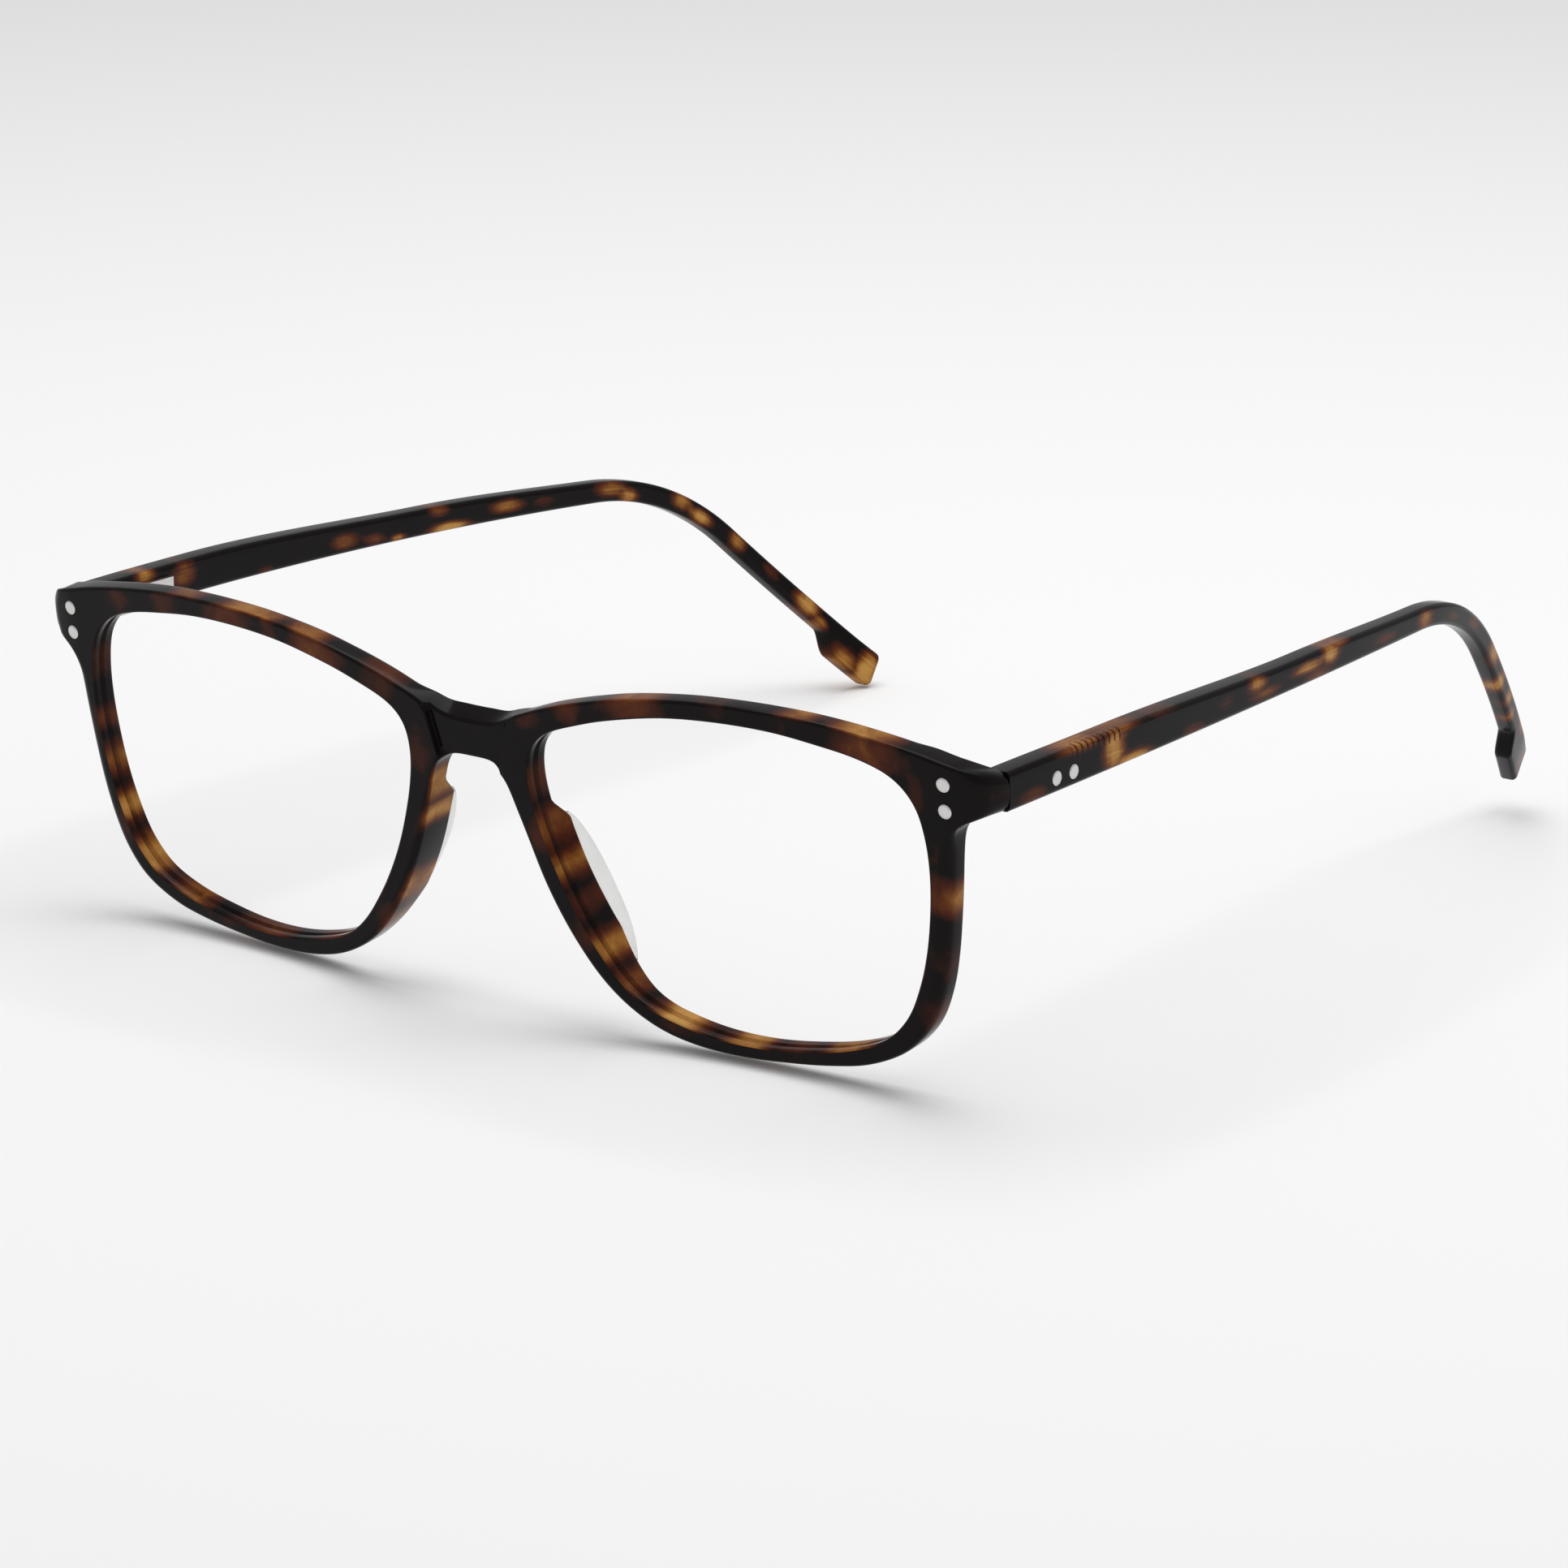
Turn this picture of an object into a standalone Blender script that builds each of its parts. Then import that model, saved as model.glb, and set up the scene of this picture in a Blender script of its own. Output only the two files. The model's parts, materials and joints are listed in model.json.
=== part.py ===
"""Acetate eyeglasses frame: front, nose pads, riveted hinges and two folding temples.

Lengths below are in millimetres and are scaled to metres when a mesh is made.
X runs across the face, Y runs back along the temples and Z is up.
The front is drawn in its own plane, which leans forward at the top, and the
temples are drawn in side view from the joint with the front.
"""
import math

import bmesh
import bpy
from mathutils import Vector
from mathutils.geometry import delaunay_2d_cdt

MM = 0.001
SHARP_ANGLE = math.radians(35)

# ---------------------------------------------------------------- front
LEAN = math.radians(6.6)          # pantoscopic tilt of the front
BASE_2 = 1.344e-3                 # wrap of the front: y = BASE_2 x^2 + BASE_4 x^4
BASE_4 = -8.1e-8
END_WRAP = 0.03                   # extra wrap of the endpieces beyond END_WRAP_X
END_WRAP_X = 63.5
RIM_DEPTH = 3.2
JOINT_Y = 9.2                     # plane where the temples butt the endpieces
RETURN_X = 65.6                   # inner side of the endpiece return
SIDE_FLARE = 1.0
BRIDGE_SET_BACK = 0.75
NASAL_BUILD = 2.1                 # extra depth of the nasal rims, under the pads
BRIDGE_RISE = 1.6                 # the top of the bridge climbs towards the back
STEP_WIDTH = 0.25
OUTLINE_STEP = 1.9
OPENING_STEP = 1.9

# Right half of the outer outline, from the top of the bridge round to its underside.
OUTER_HALF = [
    (0.0, -1.1), (2.6, -1.0), (4.6, -0.4), (6.6, 0.9), (9.5, 2.1), (13.0, 3.3),
    (17.5, 4.5), (23.0, 5.65), (30.0, 6.5), (36.0, 6.8), (42.0, 6.8), (48.0, 6.5),
    (54.0, 5.8), (60.0, 4.8), (64.6, 3.75), (67.0, 3.15), (67.8, 2.7), (68.0, 1.9),
    (68.0, -1.2), (67.7, -2.0), (66.9, -2.5), (65.8, -3.0), (64.9, -3.8), (64.4, -5.2),
    (64.05, -7.6), (63.7, -11.0), (63.2, -15.0), (62.5, -19.5), (61.45, -23.7),
    (59.6, -27.8), (56.3, -31.2), (51.5, -33.5), (46.6, -34.5), (41.0, -35.1),
    (35.0, -35.4), (29.0, -35.1), (24.0, -34.0), (19.8, -31.95), (16.4, -29.2),
    (13.6, -25.8), (11.3, -22.2), (9.3, -18.2), (7.7, -14.0), (6.3, -10.0),
    (5.3, -7.2), (4.2, -5.8), (2.6, -5.2), (0.0, -5.1),
]
# Right lens opening at the front face.
OPENING = [
    (35.0, 4.6), (42.0, 4.5), (48.0, 3.8), (53.5, 2.8), (57.5, 1.2), (59.9, -1.4),
    (61.0, -5.0), (61.3, -9.5), (60.9, -14.5), (60.1, -19.0), (58.9, -23.0),
    (57.1, -26.8), (54.2, -29.8), (50.0, -31.6), (45.0, -32.7), (38.0, -33.5),
    (31.5, -33.3), (25.5, -32.1), (21.6, -30.6), (18.7, -28.2), (16.2, -25.0),
    (14.1, -21.7), (12.2, -18.0), (10.7, -14.2), (9.3, -9.5), (8.8, -5.5),
    (9.5, -2.3), (11.6, -0.3), (16.3, 1.5), (21.0, 2.8), (28.0, 4.1),
]
OPENING_EDGE = 0.3                # rounding of the opening's front edge
# Opening wall from front to back: (shift into the rim, depth, measured from the back).
GROOVE = [(0.0, 0.3, False), (0.0, 0.95, False), (0.5, 1.4, False),
          (0.0, 1.85, False), (0.0, 0.35, True)]
OPENING_BACK_EDGE = 0.35

# ---------------------------------------------------------------- rivets
RIVET_HEAD_R = 0.84
RIVET_SHANK_R = 0.5
RIVET_HEAD_DEPTH = 0.35
RIVET_PROUD = 0.1
HOLE_GAP = 0.03
RIVET_GRIP = 0.45                 # length of shank held in the hinge plate
FRONT_RIVET_X = 64.0
FRONT_RIVET_Z = (1.53, -1.53)
PAD_GAP = 0.03

# ---------------------------------------------------------------- hinges
AXIS_X = 64.0
AXIS_Y = JOINT_Y + 0.25
KNUCKLE_R = 1.15
KNUCKLE_HEIGHT = 1.4
KNUCKLE_GAP = 0.06
LUG_INSET = 0.1
HINGE_MID_Z = 0.35
SCREW_R = 0.5
SCREW_GAP = 0.04
SCREW_HEAD_R = 0.85
SCREW_HEAD = 0.4
PLATE = 0.7

# ---------------------------------------------------------------- temples
TEMPLE_FACE_X = 69.0
TEMPLE_GAP = 0.06
TEMPLE_SET = math.radians(0.8)    # right temple set up and left temple set down
LOW_Z = -1.5                      # lower edge at the joint
LOW_SLOPE = 0.018
LOW_BOW = -0.344e-3
BEND_START = 89.6
BEND_R = 33.0
DROP_ANGLE = math.radians(43.5)
DROP_LENGTH = 18.3
PADDLE_LENGTH = 11.8
PADDLE_LEAN = 0.9                 # the upper corner of the tip ends this much sooner
TIP_CORNER = 1.6                  # rounding of the tip's lower corner, seen from the side
INWARD_1 = -0.029
INWARD_2 = 0.949e-3
INWARD_3 = 2.9e-3
INWARD_3_START = 91.6
TEMPLE_RIVETS = (8.2, 11.3)
TEMPLE_RIVET_Z = 0.35
CORE_R = 0.5
CORE_GAP = 0.04
CORE_RISE = 0.72                  # share of the temple's height where the core runs
CORE_LENGTH = 122.0

ACETATE = (0.030, 0.012, 0.006)
COLOURS = {
    "acetate": (ACETATE, 0.12, 0.0),
    "pad": ((0.82, 0.82, 0.80), 0.15, 0.0),
    "rivet": ((0.66, 0.66, 0.65), 0.30, 1.0),
    "hinge": ((0.55, 0.55, 0.56), 0.28, 1.0),
    "screw": ((0.50, 0.50, 0.51), 0.25, 1.0),
    "core": ((0.45, 0.42, 0.36), 0.35, 1.0),
}


# ================================================================ helpers
def ramp(value):
    return min(1.0, max(0.0, value))


def make_material(node_name, kind):
    colour, roughness, metallic = COLOURS[kind]
    material = bpy.data.materials.new(node_name + "_material")
    material.use_nodes = True
    shader = material.node_tree.nodes["Principled BSDF"]
    shader.inputs["Base Color"].default_value = (*colour, 1.0)
    shader.inputs["Roughness"].default_value = roughness
    shader.inputs["Metallic"].default_value = metallic
    material.diffuse_color = (*colour, 1.0)
    return material


def add_empty(name, location, parent=None, rotation=(0.0, 0.0, 0.0)):
    empty = bpy.data.objects.new(name, None)
    empty.location = [v * MM for v in location]
    empty.rotation_euler = rotation
    empty.parent = parent
    bpy.context.scene.collection.objects.link(empty)
    return empty


def add_mesh(name, verts, faces, kind, parent, origin=(0.0, 0.0, 0.0)):
    """Object with an outward-facing closed mesh, given in the parent's millimetres."""
    bm = bmesh.new()
    points = [bm.verts.new([(v[i] - origin[i]) * MM for i in range(3)]) for v in verts]
    for face in faces:
        bm.faces.new([points[i] for i in face])
    bmesh.ops.recalc_face_normals(bm, faces=bm.faces[:])
    mesh = bpy.data.meshes.new(name)
    bm.to_mesh(mesh)
    bm.free()
    mesh.shade_smooth()
    mesh.set_sharp_from_angle(angle=SHARP_ANGLE)
    if kind is not None:
        mesh.materials.append(make_material(name, kind))
    body = bpy.data.objects.new(name, mesh)
    body.location = [v * MM for v in origin]
    body.parent = parent
    bpy.context.scene.collection.objects.link(body)
    return body


def add_cutter(name, verts, faces, parent, origin=(0.0, 0.0, 0.0)):
    cutter = add_mesh(name, verts, faces, None, parent, origin)
    cutter.hide_render = True
    cutter.display_type = "WIRE"
    return cutter


def boolean(body, tool, operation="DIFFERENCE"):
    modifier = body.modifiers.new(tool.name, "BOOLEAN")
    modifier.operation = operation
    modifier.solver = "EXACT"
    modifier.object = tool


def loft(rings, close_ends=True):
    """Faces joining equal closed rings of points, with flat caps on both ends."""
    count = len(rings[0])
    verts = [p for ring in rings for p in ring]
    faces = []
    for r in range(len(rings) - 1):
        for i in range(count):
            j = (i + 1) % count
            faces.append((r * count + i, r * count + j, (r + 1) * count + j, (r + 1) * count + i))
    if close_ends:
        faces.append(tuple(range(count)))
        faces.append(tuple(range((len(rings) - 1) * count, len(rings) * count)))
    return verts, faces


def box(x0, x1, y0, y1, z0, z1):
    ring = [(x0, y0), (x1, y0), (x1, y1), (x0, y1)]
    return loft([[(x, y, z0) for x, y in ring], [(x, y, z1) for x, y in ring]])


def turned(stations, centre, axis, up, segments=20):
    """Solid of revolution from (distance, radius) stations along an axis."""
    axis = Vector(axis).normalized()
    side = Vector(up).cross(axis).normalized()
    other = axis.cross(side)
    rings = []
    for distance, radius in stations:
        ring = []
        for k in range(segments):
            angle = 2 * math.pi * k / segments
            p = Vector(centre) + axis * distance
            p += (side * math.cos(angle) + other * math.sin(angle)) * radius
            ring.append(tuple(p))
        rings.append(ring)
    return loft(rings)


def spline(points, step, closed):
    """Catmull-Rom curve through the points, cut into lengths near the step."""
    count = len(points)
    result = []
    for i in range(count if closed else count - 1):
        if closed:
            p0, p1, p2, p3 = (Vector(points[(i + k) % count]) for k in (-1, 0, 1, 2))
        else:
            p0 = Vector(points[max(i - 1, 0)])
            p1, p2 = Vector(points[i]), Vector(points[i + 1])
            p3 = Vector(points[min(i + 2, count - 1)])
        pieces = max(1, round((p2 - p1).length / step))
        d1 = (p2 - p1).length
        m1 = (p2 - p0) * (d1 / max((p2 - p0).length, 1e-9))
        m2 = (p3 - p1) * (d1 / max((p3 - p1).length, 1e-9))
        for k in range(pieces):
            t = k / pieces
            a = (2 * t ** 3 - 3 * t ** 2 + 1) * p1 + (t ** 3 - 2 * t ** 2 + t) * m1
            b = (3 * t ** 2 - 2 * t ** 3) * p2 + (t ** 3 - t ** 2) * m2
            result.append(tuple(a + b))
    if not closed:
        result.append(tuple(points[-1]))
    return result


def inward_normals(loop):
    """Unit normals of a clockwise or anticlockwise loop, pointing into it."""
    area = sum(a[0] * b[1] - b[0] * a[1] for a, b in zip(loop, loop[1:] + loop[:1]))
    sign = 1.0 if area > 0 else -1.0
    normals = []
    for i, point in enumerate(loop):
        before, after = Vector(loop[i - 1]), Vector(loop[(i + 1) % len(loop)])
        first = (Vector(point) - before).normalized()
        second = (after - Vector(point)).normalized()
        tangent = (first + second).normalized()
        normals.append(Vector((-tangent.y, tangent.x)) * sign)
    return normals


def inset(loop, normals, amounts):
    return [(p[0] + n.x * a, p[1] + n.y * a) for p, n, a in zip(loop, normals, amounts)]


def inside(point, loop):
    hit = False
    x, z = point
    for (x0, z0), (x1, z1) in zip(loop, loop[1:] + loop[:1]):
        if (z0 > z) != (z1 > z) and x < (x1 - x0) * (z - z0) / (z1 - z0) + x0:
            hit = not hit
    return hit


# ================================================================ front
def front_y(x):
    return BASE_2 * x * x + BASE_4 * x ** 4 + END_WRAP * max(0.0, abs(x) - END_WRAP_X) ** 2


def step_x(z):
    """Half width of the set-back bridge at height z."""
    return 4.75 + 0.25 * (z + 5.0)


def nasal_build(x, z):
    """Extra depth behind the nasal part of each rim, where its pad sits."""
    if abs(x) > 40.0:
        return 0.0
    return NASAL_BUILD * ramp((-9.7 - z) / 2.3) * ramp((z + 32.0) / 7.5)


def joint_y_local(z):
    """The vertical joint plane, seen from the leaning front."""
    return (JOINT_Y + z * math.sin(LEAN)) / math.cos(LEAN)


def front_point(x, z, depth, from_back):
    """Point of the front at a depth behind its face or ahead of its back."""
    wide = abs(x)
    side = math.copysign(1.0, x)
    set_back = BRIDGE_SET_BACK * ramp((step_x(z) - wide) / STEP_WIDTH) * ramp((z + 6.2) / 1.0)
    face = front_y(x) + set_back
    out = ramp((wide - RETURN_X + 0.3) / 0.3)
    rear = front_y(x) + RIM_DEPTH + nasal_build(x, z)
    z_joint = -0.31 + (z - 0.35) * 0.786
    joint = joint_y_local(z_joint)
    rear += (joint - rear) * out
    y = rear - depth if from_back else face + depth
    share = out * ramp((y - front_y(x)) / (joint - front_y(x)))
    rise = BRIDGE_RISE * ramp((y - front_y(x)) / RIM_DEPTH) * ramp((z + 3.6) / 2.2)
    near = ramp((9.0 - wide) / 7.5)
    rise *= near * near * (3 - 2 * near)
    return (x + side * SIDE_FLARE * share, y, z + (z_joint - z) * share + rise)


def outer_edge_radius(point):
    """The outer edge is soft beside the lenses and crisp along the top."""
    x, z = abs(point[0]), point[1]
    soft = 0.4 + 1.6 * ramp((x - 56.0) / 6.0) * ramp((-z - 3.0) / 4.0)
    soft += 0.4 * ramp((-z - 6.0) / 8.0) * (1.0 - ramp((x - 56.0) / 6.0))
    return soft + 1.1 * ramp((x - 66.0) / 1.8) * ramp((z + 3.0) / 1.0)


def back_edge_radius(point):
    x, z = abs(point[0]), point[1]
    soft = 0.5 + 0.5 * ramp(z / 2.0) * ramp((62.0 - x) / 3.0)
    return soft - 0.3 * ramp((x - 65.0) / 1.5)


def stitch(faces, rings):
    for ring_a, ring_b in zip(rings, rings[1:]):
        for i in range(len(ring_a)):
            j = (i + 1) % len(ring_a)
            faces.append((ring_a[i], ring_a[j], ring_b[j], ring_b[i]))


def cap(verts, faces, loops, loop_ids, free, lines, depth, from_back):
    """Flat cover between the outer loop and the openings, bent to the front's wrap."""
    coords, ids, edges = [], [], []
    for loop, loop_id in zip(loops, loop_ids):
        start = len(coords)
        coords += [Vector(p) for p in loop]
        ids += loop_id
        edges += [(start + i, start + (i + 1) % len(loop)) for i in range(len(loop))]
    for line in lines + [[p] for p in free]:
        line = [p for p in line if inside(p, loops[0])]
        line = [p for p in line if not any(inside(p, hole) for hole in loops[1:])]
        for i, p in enumerate(line):
            if i:
                edges.append((len(coords) - 1, len(coords)))
            coords.append(Vector(p))
            ids.append(len(verts))
            verts.append(front_point(p[0], p[1], depth, from_back))
    found = delaunay_2d_cdt(coords, edges, [], 0, 1e-5)
    for triangle in found[2]:
        centre = sum((found[0][i] for i in triangle), Vector((0.0, 0.0))) / 3
        if not inside(centre, loops[0]) or any(inside(centre, h) for h in loops[1:]):
            continue
        faces.append([ids[found[3][i][0]] for i in triangle])


def front_shape(outline_step=OUTLINE_STEP, opening_step=OPENING_STEP, edge_steps=3):
    half = spline(OUTER_HALF, outline_step, False)
    outer = half + [(-x, z) for x, z in reversed(half[1:-1])]
    right = spline(OPENING, opening_step, True)
    left = [(-x, z) for x, z in reversed(right)]
    verts, faces = [], []
    front_loops, front_ids, back_loops, back_ids = [], [], [], []

    normals = inward_normals(outer)
    radii = [outer_edge_radius(p) for p in outer]
    rear = [back_edge_radius(p) for p in outer]
    rings = []
    for k in range(edge_steps + 1):
        angle = 0.5 * math.pi * k / edge_steps
        loop = inset(outer, normals, [r * (1 - math.sin(angle)) for r in radii])
        depths = [r * (1 - math.cos(angle)) for r in radii]
        rings.append((loop, depths, False))
    for k in range(3):
        angle = 0.25 * math.pi * k
        loop = inset(outer, normals, [r * (1 - math.cos(angle)) for r in rear])
        rings.append((loop, [r * (1 - math.sin(angle)) for r in rear], True))
    ids = []
    for loop, depths, from_back in rings:
        ids.append(list(range(len(verts), len(verts) + len(loop))))
        verts += [front_point(p[0], p[1], d, from_back) for p, d in zip(loop, depths)]
    stitch(faces, ids)
    front_loops.append(rings[0][0])
    front_ids.append(ids[0])
    back_loops.append(rings[-1][0])
    back_ids.append(ids[-1])

    for opening in (right, left):
        normals = inward_normals(opening)
        profile = [(OPENING_EDGE, 0.0, False), (0.3 * OPENING_EDGE, 0.09, False)] + GROOVE
        profile += [(0.1, 0.1, True), (OPENING_BACK_EDGE, 0.0, True)]
        ids = []
        for shift, depth, from_back in profile:
            loop = inset(opening, normals, [-shift] * len(opening))
            ids.append(list(range(len(verts), len(verts) + len(loop))))
            verts += [front_point(p[0], p[1], depth, from_back) for p in loop]
            if len(ids) == 1:
                front_loops.append(loop)
        stitch(faces, ids)
        front_ids.append(ids[0])
        back_loops.append(loop)
        back_ids.append(ids[-1])

    heights = [0.2, -0.6, -1.6, -2.6, -3.6, -4.5]
    steps = []
    for side in (-1, 1):
        for offset in (0.0, STEP_WIDTH):
            steps.append([(side * (step_x(z) - offset), z) for z in heights])
    free = [(x, z) for x in (-3.0, -1.0, 1.0, 3.0) for z in (-2.0, -3.2, -4.2)]
    for side in (-1, 1):
        free += [(side * x, z) for x in (62.6, 64.4, 66.2) for z in (2.2, 0.4, -1.4)]
    cap(verts, faces, front_loops, front_ids, free, steps, 0.0, False)

    walls = []
    for side in (-1, 1):
        for x in (RETURN_X - 0.3, RETURN_X):
            walls.append([(side * x, 3.0 - 0.8 * k) for k in range(8)])
    free = [(x, z) for x in (-3.0, 0.0, 3.0) for z in (-2.0, -3.8)]
    for side in (-1, 1):
        free += [(side * x, z) for x in (63.4, 67.0) for z in (1.5, -1.0)]
        for ring in pad_base():
            free += [(side * ring[place][0], ring[place][1]) for place in (0, -1)]
    cap(verts, faces, back_loops, back_ids, free, walls, 0.0, True)
    return verts, faces


# ================================================================ temples
def temple_low_edge():
    """Lower edge in side view: (distance back, height, angle down, distance along)."""
    rows = []
    for k in range(23):
        v = BEND_START * k / 22
        z = LOW_Z + LOW_SLOPE * v + LOW_BOW * v * v
        angle = -math.atan(LOW_SLOPE + 2 * LOW_BOW * v) if k else 0.0
        rows.append((v, z, angle, v))
    v, z, first, along = rows[-1]
    for k in range(1, 9):
        angle = first + (DROP_ANGLE - first) * k / 8
        x1 = v + BEND_R * (math.sin(angle) - math.sin(first))
        z1 = z - BEND_R * (math.cos(first) - math.cos(angle))
        rows.append((x1, z1, angle, along + BEND_R * (angle - first)))
    v, z, angle, along = rows[-1]
    steps = [4.0, 8.0, 12.0, 16.0, DROP_LENGTH, DROP_LENGTH + 1.0, DROP_LENGTH + 2.0]
    steps += [DROP_LENGTH + 3.0, DROP_LENGTH + 5.0, DROP_LENGTH + 7.0, DROP_LENGTH + 9.0]
    steps += [DROP_LENGTH + 10.4, DROP_LENGTH + 11.1, DROP_LENGTH + 11.6, DROP_LENGTH + PADDLE_LENGTH]
    for s in steps:
        rows.append((v + s * math.cos(angle), z - s * math.sin(angle), angle, along + s))
    return rows


def blend_table(value, table):
    for (a, va), (b, vb) in zip(table, table[1:]):
        if value <= b:
            t = ramp((value - a) / (b - a))
            t = t * t * (3 - 2 * t)
            return va + (vb - va) * t
    return table[-1][1]


BEND_LENGTH = BEND_R * DROP_ANGLE
PADDLE_START = BEND_START + BEND_LENGTH + DROP_LENGTH
HEIGHT = [(0.0, 4.5), (20.0, 4.4), (60.0, 3.4), (95.0, 2.7), (115.0, 2.5), (140.0, 2.5)]
THICKNESS = [(0.0, 3.4), (30.0, 3.2), (90.0, 2.7), (140.0, 2.5)]
PADDLE_DROP = [(PADDLE_START, 0.0), (PADDLE_START + 3.4, 2.1), (PADDLE_START + 20.0, 1.9)]


def outer_face_x(v):
    late = max(0.0, v - INWARD_3_START)
    return TEMPLE_FACE_X - (INWARD_1 * v + INWARD_2 * v * v + INWARD_3 * late * late)


def temple_section(row, shrink=0.0):
    """Corner frame of the section: outer x, thickness, low point, high point in (y, z)."""
    v, z, angle, along = row
    drop = blend_table(along, PADDLE_DROP)
    height = blend_table(along, HEIGHT)
    lean = PADDLE_LEAN * ramp((along - PADDLE_START - 4.0) / (PADDLE_LENGTH - 4.0))
    into = ramp(1.0 - (PADDLE_START + PADDLE_LENGTH - along) / TIP_CORNER)
    drop -= TIP_CORNER * (1.0 - math.sqrt(1.0 - into * into))
    tangent = Vector((math.cos(angle), -math.sin(angle)))
    normal = Vector((math.sin(angle), math.cos(angle)))
    low = Vector((v, z)) - normal * (drop - shrink)
    high = Vector((v, z)) + normal * (height - shrink) - tangent * lean
    return outer_face_x(v) - shrink, blend_table(along, THICKNESS) - 2 * shrink, low, high


def ring_points(section, radius, corner_steps=2):
    """Rounded rectangle between the low and high points, across the thickness."""
    face_x, thick, low, high = section
    height = (high - low).length
    up = (high - low).normalized()
    radius = min(radius, 0.45 * thick, 0.45 * height)
    centres = [(0.0, 0.0, 180), (1.0, 0.0, 270), (1.0, 1.0, 0), (0.0, 1.0, 90)]
    ring = []
    for across, along, start in centres:
        cx = radius + across * (thick - 2 * radius)
        cz = radius + along * (height - 2 * radius)
        for k in range(corner_steps + 1):
            angle = math.radians(start + 90 * k / corner_steps)
            x = cx + radius * math.cos(angle)
            p = low + up * (cz + radius * math.sin(angle))
            ring.append((face_x - thick + x, JOINT_Y + p.x, p.y))
    return ring


def temple_shape(side):
    """Temple with a bore for its core that opens at the joint end."""
    rows = temple_low_edge()
    rings = []
    for row in rows[:-1]:
        rings.append(ring_points(temple_section(row), 0.65))
    rings.append(ring_points(temple_section(rows[-1], 0.35), 0.65))
    rings[0] = [(x, y + TEMPLE_GAP, z) for x, y, z in rings[0]]
    bore = [core_ring(row, CORE_R + CORE_GAP) for row in rows if row[3] < CORE_LENGTH + 2.0]
    bore[0] = [(x, y + TEMPLE_GAP, z) for x, y, z in bore[0]]
    verts, faces = loft(rings, False)
    faces.append(tuple(range((len(rings) - 1) * len(rings[0]), len(rings) * len(rings[0]))))
    base = len(verts)
    inner, inner_faces = loft(bore, False)
    verts += inner
    faces += [tuple(base + i for i in f) for f in inner_faces]
    count = len(bore[0])
    faces.append(tuple(base + i for i in range((len(bore) - 1) * count, len(bore) * count)))
    outer_ids = list(range(len(rings[0])))
    inner_ids = [base + i for i in range(count)]
    coords = [Vector((verts[i][0], verts[i][2])) for i in outer_ids + inner_ids]
    edges = [(i, (i + 1) % len(outer_ids)) for i in range(len(outer_ids))]
    edges += [(len(outer_ids) + i, len(outer_ids) + (i + 1) % count) for i in range(count)]
    found = delaunay_2d_cdt(coords, edges, [], 0, 1e-6)
    hole = [tuple(coords[len(outer_ids) + i]) for i in range(count)]
    ids = outer_ids + inner_ids
    for triangle in found[2]:
        centre = sum((found[0][i] for i in triangle), Vector((0.0, 0.0))) / 3
        if not inside(centre, hole):
            faces.append([ids[found[3][i][0]] for i in triangle])
    return [(side * x, y, z) for x, y, z in verts], faces


def core_ring(row, radius, segments=8):
    face_x, thick, low, high = temple_section(row)
    up = (high - low).normalized()
    middle = low + (high - low) * CORE_RISE if row[3] < 60 else low + (high - low) * 0.5
    if 60 > row[3] > 30:
        share = CORE_RISE + (0.5 - CORE_RISE) * (row[3] - 30) / 30
        middle = low + (high - low) * share
    ring = []
    for k in range(segments):
        angle = 2 * math.pi * k / segments
        p = middle + up * radius * math.sin(angle)
        x = face_x - thick / 2 + radius * math.cos(angle)
        ring.append((x, JOINT_Y + p.x, p.y))
    return ring


# ================================================================ nose pads
def pad_base(sections=11):
    """Stations down the pad: (inner x, z), (outer x, z), half width and depth."""
    top, bottom = Vector((8.9, -12.2)), Vector((17.5, -28.4))
    stations = []
    for k in range(sections):
        t = k / (sections - 1)
        spot = top.lerp(bottom, t)
        spot.x -= 0.6 * math.sin(math.pi * t) + 0.35
        bulge = max(0.0, math.sin(math.pi * (0.03 + 0.94 * t ** 0.85))) ** 0.65
        half = 0.45 + 0.45 * bulge
        depth = 0.5 + 2.6 * bulge + 0.95 * (NASAL_BUILD - nasal_build(spot.x, spot.y)) * bulge
        stations.append((spot.x - half, spot.y, half, depth, spot.x + half))
    return [((x0, z), half, depth, (x1, z)) for x0, z, half, depth, x1 in stations]


def pad_shape(side, points=10):
    """Clear fin on the nasal build-up, thin and rounded at its free edge."""
    rings = []
    for (x0, z), half, depth, (x1, _) in pad_base():
        ring = []
        for i in range(points):
            angle = math.pi * i / (points - 1)
            across = half * (1.0 - math.cos(angle))
            back = depth * math.sin(angle) ** 0.7
            base_y = front_y(x0 + across) + RIM_DEPTH + nasal_build(x0, z) + PAD_GAP
            ring.append((side * (x0 + across), base_y + back, z))
        rings.append(ring)
    return loft(rings)


# ================================================================ build
def to_world_of_front(x, y, z):
    return (x, y * math.cos(LEAN) - z * math.sin(LEAN), y * math.sin(LEAN) + z * math.cos(LEAN))


def wrap_normal(x, side):
    slope = 2 * BASE_2 * x + 4 * BASE_4 * x ** 3
    return Vector((side * slope, -1.0, 0.0)).normalized()


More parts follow.
